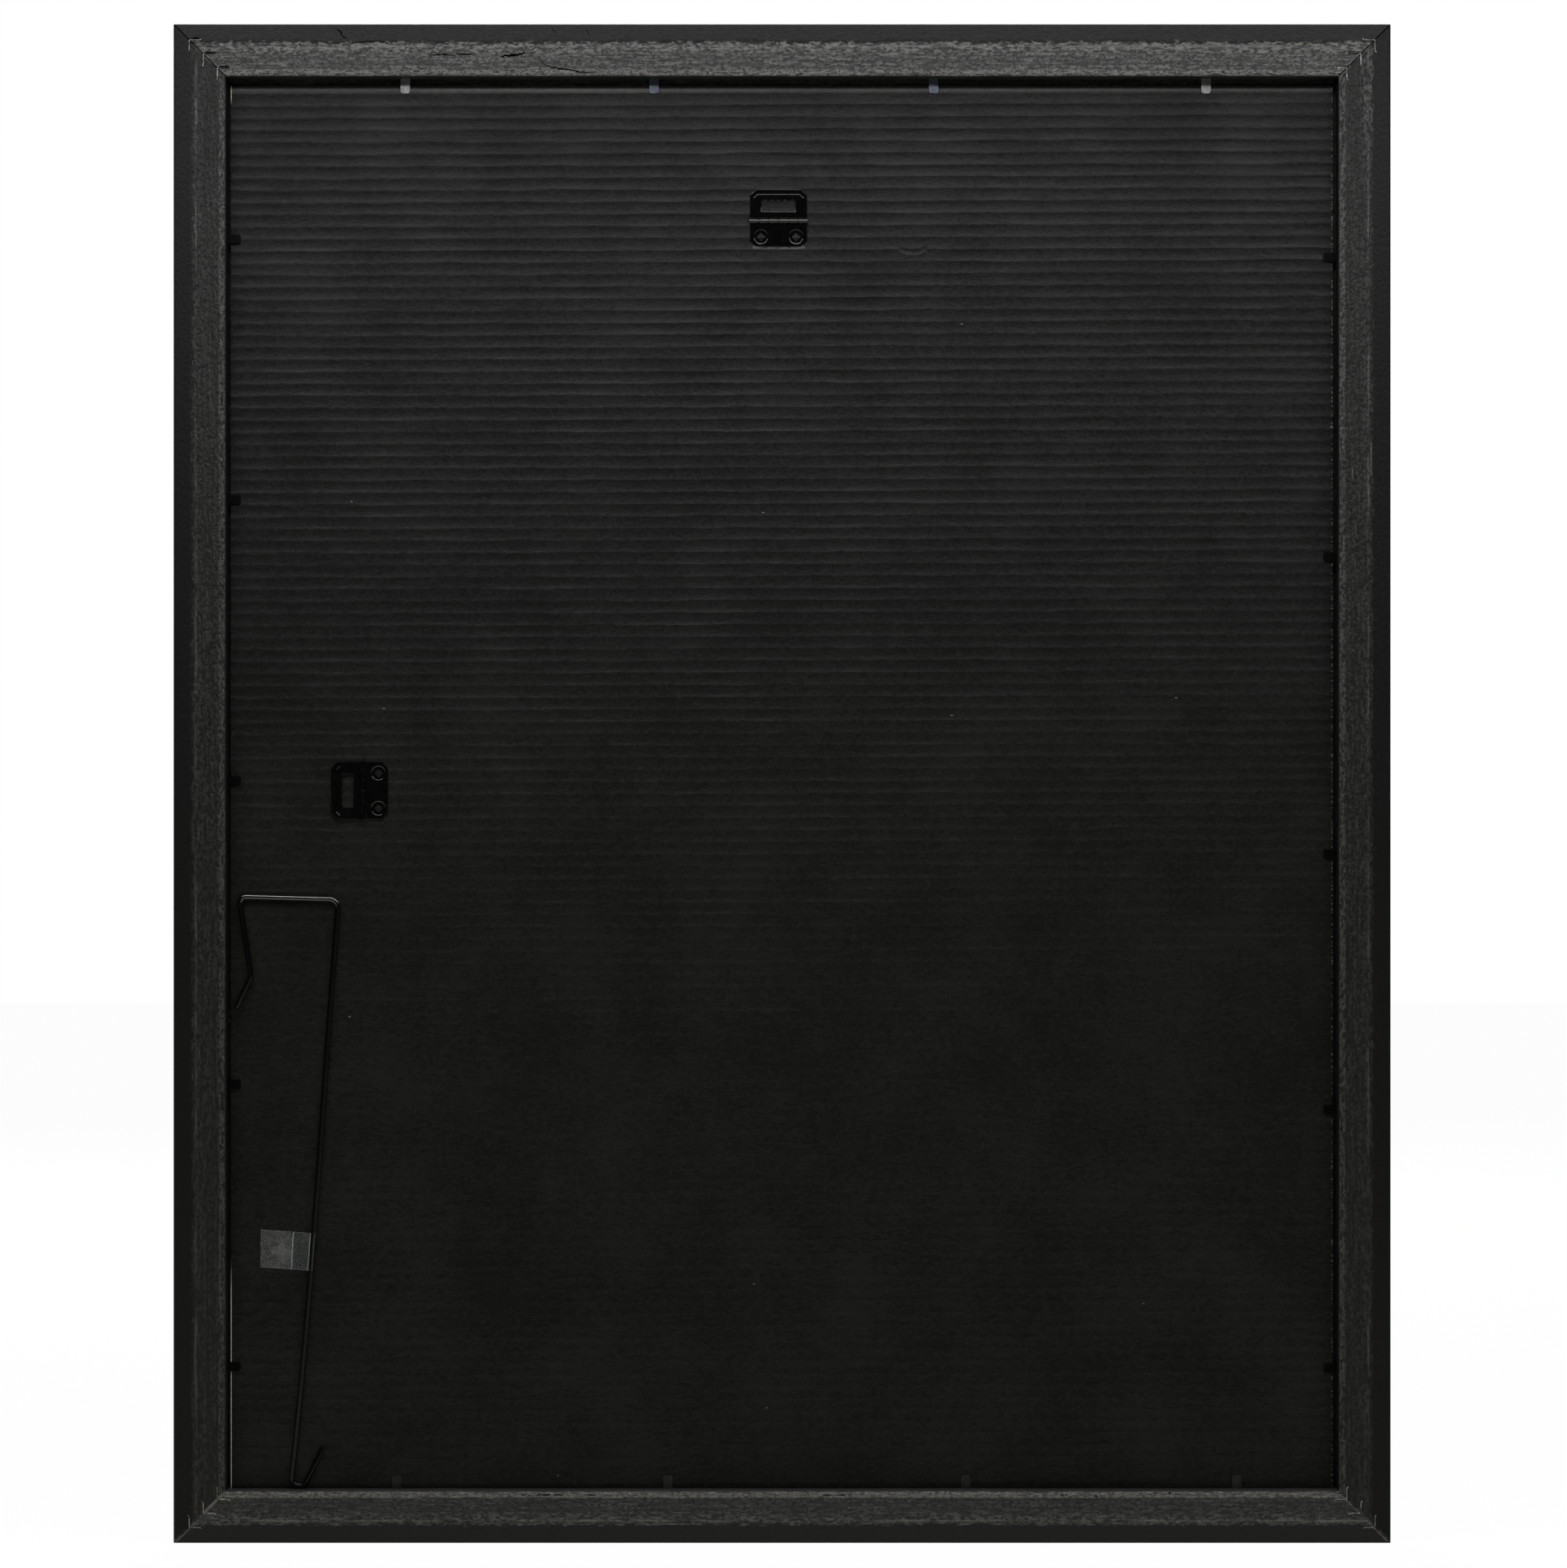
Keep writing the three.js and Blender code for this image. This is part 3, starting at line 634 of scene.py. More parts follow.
def railSolid(side):
    rows = railRows()
    gap = np.where(rows[:, 1] > 2, rail["tightGap"], rail["mitreGap"])
    reaches = side["reach"] - rows[:, 0] - gap / math.sqrt(2)
    stations = np.stack([stationsFor(reach, side["reach"]) for reach in reaches], axis=1)
    inset = np.broadcast_to(rows[:, 0], stations.shape)
    depth = np.broadcast_to(rows[:, 1], stations.shape).copy()
    onBack = (depth < rail["bandDrop"] + 0.01) & (inset > rail["backCorner"])
    relief = rawRelief(stations, inset, side["seed"])
    depth = depth + np.where(onBack, relief, 0)
    ends = np.abs(stations) > reaches - 0.01
    depth = depth + np.where(onBack & ends, rail["mitreDrop"], 0)
    points = onSide(side, stations, side["half"] - inset, backPlane + depth)
    return loft(list(points))


nail = {
    "insets": (8, 15.1, 22.2),
    "leg": 6.2,
    "curl": 0.7,
    "thickness": 0.48,
    "depth": 10,
    "sink": 0.15,
    "clearance": 0.12,
    "edge": 0.14,
    "paintedShadeLegs": (("top_left", 1), ("top_left", 2), ("top_right", 1)),  # legs painted dark as shade, where they lie in the rail's cracks
    "colours": (paint(158, 158, 156), paint(78, 77, 74)),
}

corners = {
    "bottom_left": {"across": -1, "up": -1, "turn": 0},
    "top_left": {"across": -1, "up": 1, "turn": 90},
    "top_right": {"across": 1, "up": 1, "turn": 180},
    "bottom_right": {"across": 1, "up": -1, "turn": -90},
}


# line through the nail: apex at the origin, one leg along x, one along z, tips curled outwards
def nailLine(extra=0.0):
    leg, curl = nail["leg"], nail["curl"]
    half = [(0.12, 0.12), (0.5, 0.0), (1.2, 0.0), (2.8, 0.0), (leg - 2 * curl, 0.0)]
    half += [(leg - curl, -0.1 * curl), (leg - 0.4 * curl, -0.45 * curl), (leg + extra, -curl - extra)]
    line = [(z, x) for x, z in half[:0:-1]] + half
    return [(x, 0, z) for x, z in line]


# turn about y as the CAD source turns its pieces
def turnedY(degrees, x, z):
    return Matrix.Translation((x, 0, z)) @ rotation(degrees, "Y")


def nailPlaces():
    for name, corner in corners.items():
        for i, inset in enumerate(nail["insets"]):
            x = corner["across"] * (halfWide - inset)
            z = corner["up"] * (halfHigh - inset)
            yield f"{name}_corner_nail_{i + 1}", turnedY(corner["turn"], x, z)


def nailSolid(grow=0.0, behind=0.0):
    bottom = nail["depth"] + grow
    top = -behind
    middle = (bottom + top) / 2
    radius = nail["edge"] if grow == 0 else 0.02
    section = roundedBox(nail["thickness"] + 2 * grow, bottom - top, radius)
    y = backPlane + nail["sink"] + middle
    line = [(x, y, z) for x, _, z in nailLine(grow)]
    return sweep(line, section)


crack = {
    "step": 0.7,
    "taper": 0.6,  # lower is blunter at the ends
    "uneven": (0.6, 1.2),  # least and most width at a step, as a share
    "wander": 0.25,  # of its middle, as a share of the width
    "floor": 0.8,  # width at the bottom, as a share
    "above": 0.8,  # how far the cutter stands out of the back
}


# ragged split in the moulding's back: width and depth fade towards its ends
def crackSolid(line, width, depth, seed):
    c = crack
    draw = random.Random(seed)
    line = np.array(line, float)
    steps = np.linalg.norm(np.diff(line, axis=0), axis=1)
    total = steps.sum()
    count = max(8, int(total / c["step"]))
    ends = np.concatenate([[0], np.cumsum(steps)])
    places = np.linspace(0, total, count)
    x = np.interp(places, ends, line[:, 0])
    z = np.interp(places, ends, line[:, 1])
    direction = (line[-1] - line[0]) / np.linalg.norm(line[-1] - line[0])
    aside = np.array([-direction[1], direction[0]])
    rings = []
    for i in range(count):
        fade = math.sin(math.pi * (0.04 + 0.92 * i / (count - 1))) ** c["taper"]
        half = width / 2 * fade * draw.uniform(*c["uneven"])
        wander = draw.uniform(-c["wander"], c["wander"]) * width
        centre = np.array([x[i], z[i]]) + aside * wander
        high = backPlane - c["above"]
        low = backPlane + depth * (0.35 + 0.65 * fade)
        ring = []
        for share, y in ((-1, high), (1, high), (c["floor"], low), (-c["floor"], low)):
            edge = centre + aside * half * share
            ring.append((edge[0], y, edge[1]))
        rings.append(ring)
    return loft(rings)


# cracks in the top rail, as pixels along each in the photograph, with width and depth
cracks = [
    ([(415, 35.5), (419.5, 39), (421.5, 44), (427, 47.5)], 1.0, 1.7),
    ([(427, 53.3), (446, 51.6), (464, 49.8), (482, 54.7), (500, 56.2)], 0.55, 1.5),
    ([(528, 68), (545, 67), (561, 68.4)], 0.8, 1.6),
    ([(563, 67.2), (573, 67), (583, 66.3)], 1.0, 1.7),
    ([(616, 69.2), (632, 67.8), (650, 65.7)], 1.4, 1.9),
    ([(663, 69), (667, 75), (671, 79.3)], 0.6, 1.5),
    ([(671, 79.3), (683, 83.7), (702, 86), (713, 88.6), (731, 90.3)], 0.9, 1.7),
    ([(680, 34.5), (682, 37), (684.5, 40.3)], 0.5, 1.5),
    ([(722, 36), (724, 39), (726.5, 43)], 0.5, 1.5),
    ([(1662, 64.2), (1667, 63.6), (1672, 64.2)], 0.6, 1.6),
]
nailSplit = {
    "above": 0.62,  # the nail's inset
    "run": ((0.6, 0), (3, 0.1), (6.2, 0.2)),
    "width": 1.0,
    "depth": 1.4,
    "seed": 60,
}
backScale = 0.410 / 0.4116  # the back plane is nearer the camera than the board


def onBackPlane(px, py):
    x, z = placeOf(px, py)
    return x * backScale, z * backScale


# dark splits beside the legs of the nails at the top left corner
def splitSolids():
    s = nailSplit
    solids = []
    for i, inset in enumerate(nail["insets"]):
        x = -(halfWide - inset)
        z = halfHigh - inset + s["above"]
        line = [(x + across, z + up) for across, up in s["run"]]
        solids.append(crackSolid(line, s["width"], s["depth"], s["seed"] + i))
    return solids


def addRails():
    places = [place for _, place in nailPlaces()]
    slots = [moved(nailSolid(nail["clearance"], nail["sink"] + 1), place) for place in places]
    for name, side in sides.items():
        own = []
        for slot in slots:
            centre = slot[0].mean(axis=0)
            across = centre[0] * side["out"][0] + centre[2] * side["out"][1]
            if across > side["half"] - rail["frontWidth"]:
                own.append(slot)
        cutters = [merged(own)]
        if name == "top":
            for i, (line, width, depth) in enumerate(cracks):
                cutters.append(crackSolid([onBackPlane(*p) for p in line], width, depth, side["seed"] + i))
            cutters.append(merged(splitSolids()))
        solid = combined(railSolid(side), cutters, "DIFFERENCE")
        material = mouldingMaterials["horizontal" if name in ("top", "bottom") else "vertical"]
        makePiece(f"{name}_moulding", solid, material, "frame", [f"{name}_rail"], 40)
        print(f"{name} moulding: {len(solid[0])} points")


moulding = {
    "foil": paint(6, 6.2, 7),
    "foilWarm": paint(6.2, 6, 5.6),  # lower down
    "lowBandPaintedLight": paint(21, 21, 22),  # foil of the bottom rail, painted lighter as light from below
    "worn": paint(72),  # painted highlight along the top arris
    # painted shade: near black for the floors of cracks and slots and the lines along the upper mitres
    "gap": paint(2),
    "glue": paint(106, 102, 88),  # squeezed out at the lower left mitre
    # the horizontal rails' raw, fibre and torn colours are lighter, and their gloss stronger, than the
    # vertical rails': painted light, as light from above catches grain that runs across it
    "raw": {"horizontal": paint(6), "vertical": paint(4, 4, 3.6)},
    "fibre": {"horizontal": paint(40, 39.5, 39), "vertical": paint(23, 23, 22)},
    "torn": {"horizontal": paint(66, 65, 64), "vertical": paint(40, 39.5, 39)},
    "foilGloss": {"horizontal": 0.205, "vertical": 0.16},
    "fibreGloss": {"horizontal": 0.79, "vertical": 0.275},
    "fibreSpread": {"horizontal": 0.48, "vertical": 0.2},  # of the gloss, down and up
    "tornGloss": {"horizontal": 0.95, "vertical": 0.6},
    "grain": {  # lump along and across the rail, detail, roughness and distortion
        "long": (34, 1.3, 4.0, 0.6, 0.0),
        "tufts": (3.6, 1.5, 3.0, 0.65, 0.6),
        "speckle": (2.2, 1.7, 2.0, 0.6, 0.0),
        "grit": (1.2, 0.9, 2.0, 0.6, 0.0),
        "edge": (6, 3, 4.0, 0.7, 0.0),
    },
    # z, y or inset where a mask starts and is full, or fades and ends
    "lower": (-300, -100),
    "upper": (0, 10),
    "wallFoot": (6.2, 6.4),
    "fuzzFrom": (8.6, 10.2),
    "fuzzTo": (12, 17),
    "warmTo": (-80, 60),
    "glueAt": (14.8, 15.6, 25.2, 25.9),
    "glueCorner": ((-250, -240), (-300, -290)),
    "paintedShadeFoot": (10.0, 10.4),
    # light scuffs on the right rail in pixels: across, from, to, and width
    "strokes": ((1689.6, 542, 588, 0.5), (1687, 600, 622, 0.4), (1666.8, 574, 593, 0.4)),
}


def mouldingMaterial(name, lying):
    m = moulding
    shader = newShader(name)
    x, y, z = shader.parts(shader.place())
    horizontal = lying == "horizontal"
    along, across, reach = (x, z, halfHigh) if horizontal else (z, x, halfWide)
    inset = reach - abs(across)
    backWidth = rail["backWidth"]
    raw, fibre, tornColour = (m[part][lying] for part in ("raw", "fibre", "torn"))

    noises = []
    for long, short, detail, rough, bend in m["grain"].values():
        lump = shader.vector(along / long, across / short, y / short)
        noises.append(shader.noise(lump, 1.0, detail, rough, bend))
    longGrain, tufts, speckle, grit, edge = noises
    patches = shader.noise(shader.vector(along / 45, across / 9, 0.0), 1.0, 2.0, 0.5)
    ragged = edge - 0.5

    onBack = shader.under(y, backPlane + 0.9, backPlane + 1.3)
    inWall = shader.between(inset, backWidth - 0.25, backWidth - 0.05) * shader.under(y, *m["wallFoot"])
    fuzzy = inset + ragged * 4.0 + (tufts - 0.5) * 3.0
    bare = shader.between(fuzzy, rail["bandWidth"] - 0.4, rail["bandWidth"] + 2.0) * onBack
    fromMitre = abs((halfWide - abs(x)) - (halfHigh - abs(z))) / math.sqrt(2)
    upper = shader.between(z, *m["upper"])
    lower = shader.under(z, *m["lower"]) if horizontal else 0.0

    fibreMask = shader.between(tufts * 0.4 + speckle * 0.3 + grit * 0.3, 0.43, 0.59)
    fibreMask = fibreMask * (0.35 + 1.1 * shader.between(longGrain, 0.38, 0.68))
    bareColour = shader.times(shader.mixed(fibreMask, raw, fibre), 1 - 0.55 * lower)
    # in the rebate wall the raw colour is darker, as painted shade, and on the bottom rail much lighter, as
    # painted light on its top edge
    bareColour = shader.mixed(inWall, bareColour, shader.times(raw, 0.8 + 4 * lower))

    # torn fibre: a streak and fuzz beside the band, flakes at the inner edge, lips of the mitres, partly a
    # painted highlight
    outer = inset - rail["outerStreak"] - ragged * 3.0
    outer = shader.between(1 - abs(outer) / 0.8, 0.0, 0.8)
    outer = outer * shader.between(patches + ragged * 0.5, 0.42, 0.62)
    fuzz = shader.between(fuzzy, *m["fuzzFrom"]) * shader.under(inset, *m["fuzzTo"])
    fuzz = fuzz * shader.between(tufts, 0.46, 0.6)
    inner = shader.between(1.9 - abs(inset - rail["innerStreak"] - ragged * 1.6), 0.1, 0.9)
    flakes = shader.between(tufts * 0.5 + longGrain * 0.3 + grit * 0.2, 0.45, 0.54)
    fuzzShare = 0.95 - 0.6 * lower
    if not horizontal:
        outer = outer * (1 + 0.5 * shader.between(z, 280, 360))
        fuzzShare = 0.15 + 0.75 * shader.between(z, 310, 350) * shader.between(x, 0, 10)
    torn = shader.most(outer * 0.7, fuzz * fuzzShare)
    torn = shader.most(torn, inner * (0.04 + 0.76 * flakes + 0.3 * lower))
    # light lips along the mitres: torn fibre on the raw back, and on the lower corners also across the band
    # as a painted highlight on the mitre's bevel
    lips = shader.under(fromMitre, 0.6, 1.1) * shader.between(edge, 0.42, 0.56) * 0.7
    torn = shader.most(torn, lips * shader.most(shader.between(inset, 9, 11), 1 - upper))
    cracked = shader.between(longGrain * 0.5 + tufts * 0.5, 0.55, 0.6) * inner
    torn = torn * (1 - cracked) * onBack
    for px, start, end, width in [] if horizontal else m["strokes"]:
        strokeX, top = onBackPlane(px, start)
        foot = onBackPlane(px, end)[1]
        stroke = shader.under(abs(x - strokeX + ragged * 0.5), width / 2, width / 2 + 0.2)
        torn = shader.most(torn, stroke * shader.within(z, foot, foot + 2, top - 2, top) * onBack)

    band = shader.mixed(shader.between(z, *m["warmTo"]), m["foilWarm"], m["foil"])
    band = shader.times(band, 0.7 + 0.6 * speckle)
    if horizontal:
        # on the bottom rail the foil takes a lighter colour: painted light from below
        band = shader.mixed(lower, band, m["lowBandPaintedLight"])
        # a light line on the top rail's outer arris: painted highlight where the rounded edge catches light
        # from above
        worn = shader.between(z, halfHigh - 0.9, halfHigh - 0.4) * (0.5 + 0.5 * speckle)
        band = shader.mixed(worn, band, m["worn"])
    foil = shader.principled({
        "Base Color": band,
        "Roughness": 0.37 + 0.26 * speckle,
        "Specular IOR Level": m["foilGloss"][lying],
        "Normal": shader.bump(speckle, 0.2),
    })
    height = 0.2 * longGrain + 0.5 * tufts + 0.4 * speckle + 0.2 * grit
    gloss, spread = m["fibreGloss"][lying], m["fibreSpread"][lying]
    fibres = shader.twoGloss(fibreMask * (1 - 0.5 * lower), (gloss * (1 - spread), gloss * (1 + spread)), {
        "Base Color": bareColour,
        "Roughness": 0.24 + 0.26 * tufts + 0.2 * speckle + 0.14 * grit,
        "Normal": shader.bump(height, 1.0),
    })
    tornShade = (0.2 + 0.9 * speckle + 0.7 * grit) * (1 + 0.3 * lower)
    tornFibre = shader.principled({
        "Base Color": shader.times(tornColour, tornShade),
        "Roughness": 0.42 + 0.16 * speckle,
        "Specular IOR Level": m["tornGloss"][lying],
        "Normal": shader.bump(height, 0.9),
    })
    glue = shader.principled({"Base Color": m["glue"], "Roughness": 0.4 + 0.2 * speckle})
    # a matt near-black finish that paints shade into cracks, slots and the upper mitres
    paintedShadeFinish = shader.principled({"Base Color": m["gap"], "Roughness": 0.9, "Specular IOR Level": 0.05})

    seam = shader.under(fromMitre + ragged * 0.8, 0.35, 0.65) * onBack
    seam = seam * shader.within(inset, *m["glueAt"])
    acrossAt, upAt = m["glueCorner"]
    seam = seam * shader.under(x, *acrossAt) * shader.under(z, *upAt)
    # painted shade along the mitres of the upper corners, where the mitre's bevel faces away from the light
    paintedMitreShade = shader.under(fromMitre + (tufts - 0.5) * 0.3, 0.22, 0.44) * onBack * upper * 0.9
    # painted shade on the floors of cuts below the back, such as cracks and nail slots
    below = shader.between(y, backPlane + 0.42, backPlane + 0.62) * shader.between(inset, 2, 2.5)
    below = below * shader.under(inset, backWidth - 0.4, backWidth - 0.2) * shader.under(y, *m["paintedShadeFoot"])
    # the small cracks in the inner streak are painted dark too, as shade
    paintedShadeMask = shader.most(shader.most(below, paintedMitreShade), cracked * onBack * 0.8)
    back = shader.blend(shader.most(bare, inWall), foil, fibres)
    back = shader.blend(torn, back, tornFibre)
    back = shader.blend(seam * 0.7, back, glue)
    return shader.finish(shader.blend(paintedShadeMask, back, paintedShadeFinish))


# one finish in two copies: the horizontal rails' painted lighter as lit from above, the vertical rails'
# darker as shaded
mouldingMaterials = {
    lying: mouldingMaterial(f"moulding{lying.capitalize()}", lying)
    for lying in ("horizontal", "vertical")
}
addRails()


def nailMaterial():
    shader = newShader("nailSteel")
    place = shader.place()
    x, y, z = shader.parts(place)
    paintedShadeLegs = 0.0
    for name, order in nail["paintedShadeLegs"]:
        corner = corners[name]
        apexX = corner["across"] * (halfWide - nail["insets"][order])
        apexZ = corner["up"] * (halfHigh - nail["insets"][order])
        inward = (apexX - x) * corner["across"]
        leg = shader.within(inward, 0.5, 1.2, 6.5, 7) * shader.under(abs(z - apexZ), 1.0, 1.2)
        paintedShadeLegs = shader.most(paintedShadeLegs, leg)
    fine = shader.noise(place, 1.8)
    patchy = shader.noise(place, 0.45)
    tarnish = shader.between(fine * 0.4 + patchy * 0.6, 0.42, 0.58)
    # the listed legs are painted near black: painted shade from the cracks round them
    return shader.surface({
        "Base Color": shader.times(shader.mixed(tarnish, *nail["colours"]), 1 - 0.93 * paintedShadeLegs),
        "Metallic": 0.85,
        "Roughness": 0.34 + 0.25 * fine,
        "Normal": shader.bump(fine, 0.03),
    })


def addNails():
    steel = nailMaterial()
    for name, place in nailPlaces():
        shown = name.replace("corner_nail", "v_nail")
        makePiece(shown, moved(nailSolid(), place), steel, "frame", [name], 50)


addNails()
print("corner nails are in")


# Backing board

board = {
    "left": -279.6,
    "right": 279.2,
    "bottom": -357.4,
    "top": 353.8,
    "face": 0.6,
    "liner": 0.35,
    "pitch": 6.13,
    "rows": (0, 0.04, 0.12, 0.26, 0.42, 0.58, 0.74, 0.88, 0.96),  # shares of a pitch
    "cusp": 2.08,  # 2 for round valleys, more for flat ones with steep sides
    "columnStep": 5.5,
    "wander": 1.1,  # of each rib, up and down
    # height and depth of the valleys
    "valley": ((-340, 0.2), (-150, 0.22), (60, 0.25), (268, 0.22), (333, 0.28), (345, 0.29), (352, 0.14)),
    "crestAt": 344.4,  # height of one crest at the middle
    "crestTilt": 0.0036,  # rise to the right
    "gloss": (0.128, 0.216),
    "dentAt": (66.4, 269.4),
    "dentSize": (14.8, 5),
    "marks": paint(92, 92, 91),
    "lightEdge": paint(168, 166, 158),
    # x or z where a mark starts, is full, fades and ends
    # the light top edge is partly a painted highlight on the board's first crest, brighter still over the
    # span that follows
    "topEdge": (349.6, 351.6, 352.2, 352.6),
    "topEdgeBrighter": (-190, -180, -75, -60),
    # painted highlight on the board just below the top hanger, where the board tilts up under its lower
    # edge
    "hangerFootHighlight": (270.7, 272.2, 272.7, 273),
}


def boardRelief(x, z):
    heights = [h for h, _ in board["valley"]]
    depths = [d for _, d in board["valley"]]
    depth = np.interp(z, heights, depths)
    phase = (z - board["crestAt"] - board["crestTilt"] * x) / board["pitch"]
    depth = depth * (0.3 + 1.4 * layered(x / 34, np.floor(phase) * 3.7, 71, 2))
    share = phase - np.floor(phase)
    scallop = 1 - np.abs(2 * share - 1) ** board["cusp"]
    relief = depth * scallop
    dx = (x - board["dentAt"][0]) / (board["dentSize"][0] / 2)
    dz = (z - board["dentAt"][1]) / (board["dentSize"][1] / 2)
    curve = dz - 0.9 * dx * dx + 0.35
    lip = np.exp(-((curve + 0.25) / 0.35) ** 2) * (1 - smooth(np.abs(dx), 0.7, 1.05))
    hollow = np.exp(-((curve - 0.45) / 0.42) ** 2) * (1 - smooth(np.abs(dx), 0.75, 1.1))
    relief = relief * (1 - 0.7 * np.maximum(lip, hollow)) + 0.26 * hollow
    return np.clip(relief, 0, board["liner"] - 0.05)


def boardSolid():
    b = board
    first = math.floor((b["bottom"] - b["crestAt"]) / b["pitch"])
    last = math.ceil((b["top"] - b["crestAt"]) / b["pitch"])
    rows = [b["crestAt"] + (k + s) * b["pitch"] for k in range(first, last) for s in b["rows"]]
    rows = [z for z in rows if b["bottom"] + 0.2 < z < b["top"] - 0.2]
    dent = b["dentAt"][1] + np.arange(-4, 4.01, 0.4)
    rows = np.array(sorted({round(z, 3) for z in [b["bottom"], *rows, *dent, b["top"]]}))
    count = round((b["right"] - b["left"]) / b["columnStep"])
    columns = list(np.linspace(b["left"], b["right"], count + 1))
    columns += list(b["dentAt"][0] + np.arange(-9, 9.01, 0.6))
    columns = np.array(sorted({round(x, 3) for x in columns}))
    x, z = np.meshgrid(columns, rows)
    y = b["face"] + boardRelief(x, z)
    rib = np.floor((z - b["crestAt"]) / b["pitch"] + 0.5)
    loose = smooth(z, b["bottom"] + 2, b["bottom"] + 12) * (1 - smooth(z, 338, 350))
    loose = loose * smooth(np.hypot(x - b["dentAt"][0], z - b["dentAt"][1]), 12, 24)
    z = z + loose * b["wander"] * (layered(x / 19, rib * 2.3, 77, 2) - 0.5)
    over = np.stack([x, y, z], axis=-1).reshape(-1, 3)
    wide, high = len(columns), len(rows)
    faces = []
    for j in range(high - 1):
        for i in range(wide - 1):
            a = j * wide + i
            faces.append((a, a + 1, a + wide + 1, a + wide))
    rim = list(range(wide))
    rim += [j * wide + wide - 1 for j in range(1, high)]
    rim += [(high - 1) * wide + i for i in range(wide - 2, -1, -1)]
    rim += [j * wide for j in range(high - 2, 0, -1)]
    under = over[rim].copy()
    under[:, 1] = b["face"] + b["liner"]
    start = len(over)
    for k in range(len(rim)):
        n = (k + 1) % len(rim)
        faces.append((rim[k], rim[n], start + n, start + k))
    faces.append(tuple(range(start, start + len(rim))))
    return np.concatenate([over, under]), faces


# light marks on the outer face: a light top edge, partly its fibres and partly a painted highlight on the
# first crest; a rubbed right edge; a painted highlight below the top hanger; lint; then the left edge
def linerMarks(shader, x, z, fibres):
    b = board
    broken = 0.35 + 1.3 * shader.between(fibres, 0.4, 0.65)
    topEdge = shader.within(z, *b["topEdge"]) * (0.5 + 0.3 * shader.within(x, *b["topEdgeBrighter"]))
    reach = shader.most(shader.under(z, -262, -240), shader.between(z, 344, 348))
    leftEdge = shader.under(x, b["left"] + 0.3, b["left"] + 0.5) * reach
    rightEdge = shader.between(x, b["right"] - 0.6, b["right"] - 0.3)
    rightEdge = rightEdge * shader.between(fibres, 0.5, 0.62) * 0.6
    # painted highlight below the top hanger
    hangerFootHighlight = shader.within(z, *b["hangerFootHighlight"]) * shader.under(abs(x + 1.6), 12, 14) * 0.4
    cells = {"Vector": shader.vector(x / 1.8, z, 0.0), "Scale": 0.018}
    spots = shader.node("ShaderNodeTexVoronoi", {"voronoi_dimensions": "2D"}, cells)
    draw = shader.parts(Signal(shader, spots.socket.node.outputs["Color"]))[0]
    lint = shader.under(spots, 0.003, 0.008) * shader.between(draw, 0.72, 0.74) * 0.8
    marks = shader.most(rightEdge, hangerFootHighlight)
    marks = shader.most(marks * broken, topEdge * 0.38 * (0.8 + 0.2 * broken))
    return shader.most(marks, lint), leftEdge * (0.6 + 0.4 * broken)


def linerMaterial(name, outer):
    shader = newShader(name)
    place = shader.place()
    x, y, z = shader.parts(place)
    mottle = shader.noise(place, 0.018)
    speckle = shader.noise(place, 0.75, 3.0, 0.65)
    fibres = shader.noise(shader.vector(x / 4, y, z / 0.9), 1.0)
    bands = shader.noise(shader.vector(x / 26, 0.0, z / 5), 1.0, 2.0, 0.5)
    base = shader.mixed(shader.between(z, -60, 120), paint(6.6, 6.4, 5.4), paint(6.5, 6.5, 6.5))
    uneven = 0.3 * mottle + 0.7 * speckle + 0.7 * fibres - 0.85
    colour = shader.times(base, 1 + uneven * (2.4 - 1.7 * shader.between(z, -260, 0)))
    roughness = 0.35 + 0.24 * speckle + 0.1 * bands
    if outer:
        # the strip at the board's top edge is painted darker and made rougher: painted shadow of the top
        # rail's wall
        paintedWallShadow = shader.between(z, 352.4, 352.8)
        marks, leftEdge = linerMarks(shader, x, z, fibres)
        colour = shader.mixed(marks, colour, board["marks"])
        colour = shader.mixed(leftEdge, colour, board["lightEdge"])
        colour = shader.times(colour, 1 - 0.6 * paintedWallShadow)
        roughness = roughness + 0.3 * paintedWallShadow
    shine = shader.between(0.3 * mottle + 0.4 * speckle + 0.3 * fibres, 0.4, 0.6)
    return shader.finish(shader.twoGloss(shine, board["gloss"], {
        "Base Color": colour,
        "Roughness": roughness,
        "Normal": shader.bump(0.6 * speckle + 0.4 * fibres, 0.16),
    }))


ribbed = linerMaterial("boardLiner", True)
makePiece("board_ribbed_liner", boardSolid(), ribbed, "frame", ["board_back_liner"], 60)
print("ribbed liner is in")


# CAD nodes that keep their own shape and get a finish
def dress(node, material):
    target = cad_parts[node]
    target.data.materials.clear()
    target.data.materials.append(material)


def coreMaterial():
    shader = newShader("boardCore")
    speckle = shader.noise(shader.place(), 1.4)
    colour = shader.mixed(speckle, paint(96, 76, 54), paint(128, 104, 76))
    return shader.surface({"Base Color": colour, "Roughness": 0.92, "Normal": shader.bump(speckle, 0.05)})


def insertMaterial():
    shader = newShader("insertPaper")
    place = shader.place()
    fibre = shader.noise(place, 0.9, 4.0, 0.65)
    cloud = shader.noise(place, 0.01, 2.0, 0.5)
    return shader.surface({
        "Base Color": shader.mixed(fibre * 0.6 + cloud * 0.4, paint(232, 230, 224), paint(243, 242, 238)),
        "Roughness": 0.85 + 0.1 * fibre,
        "Normal": shader.bump(fibre, 0.03),
    })


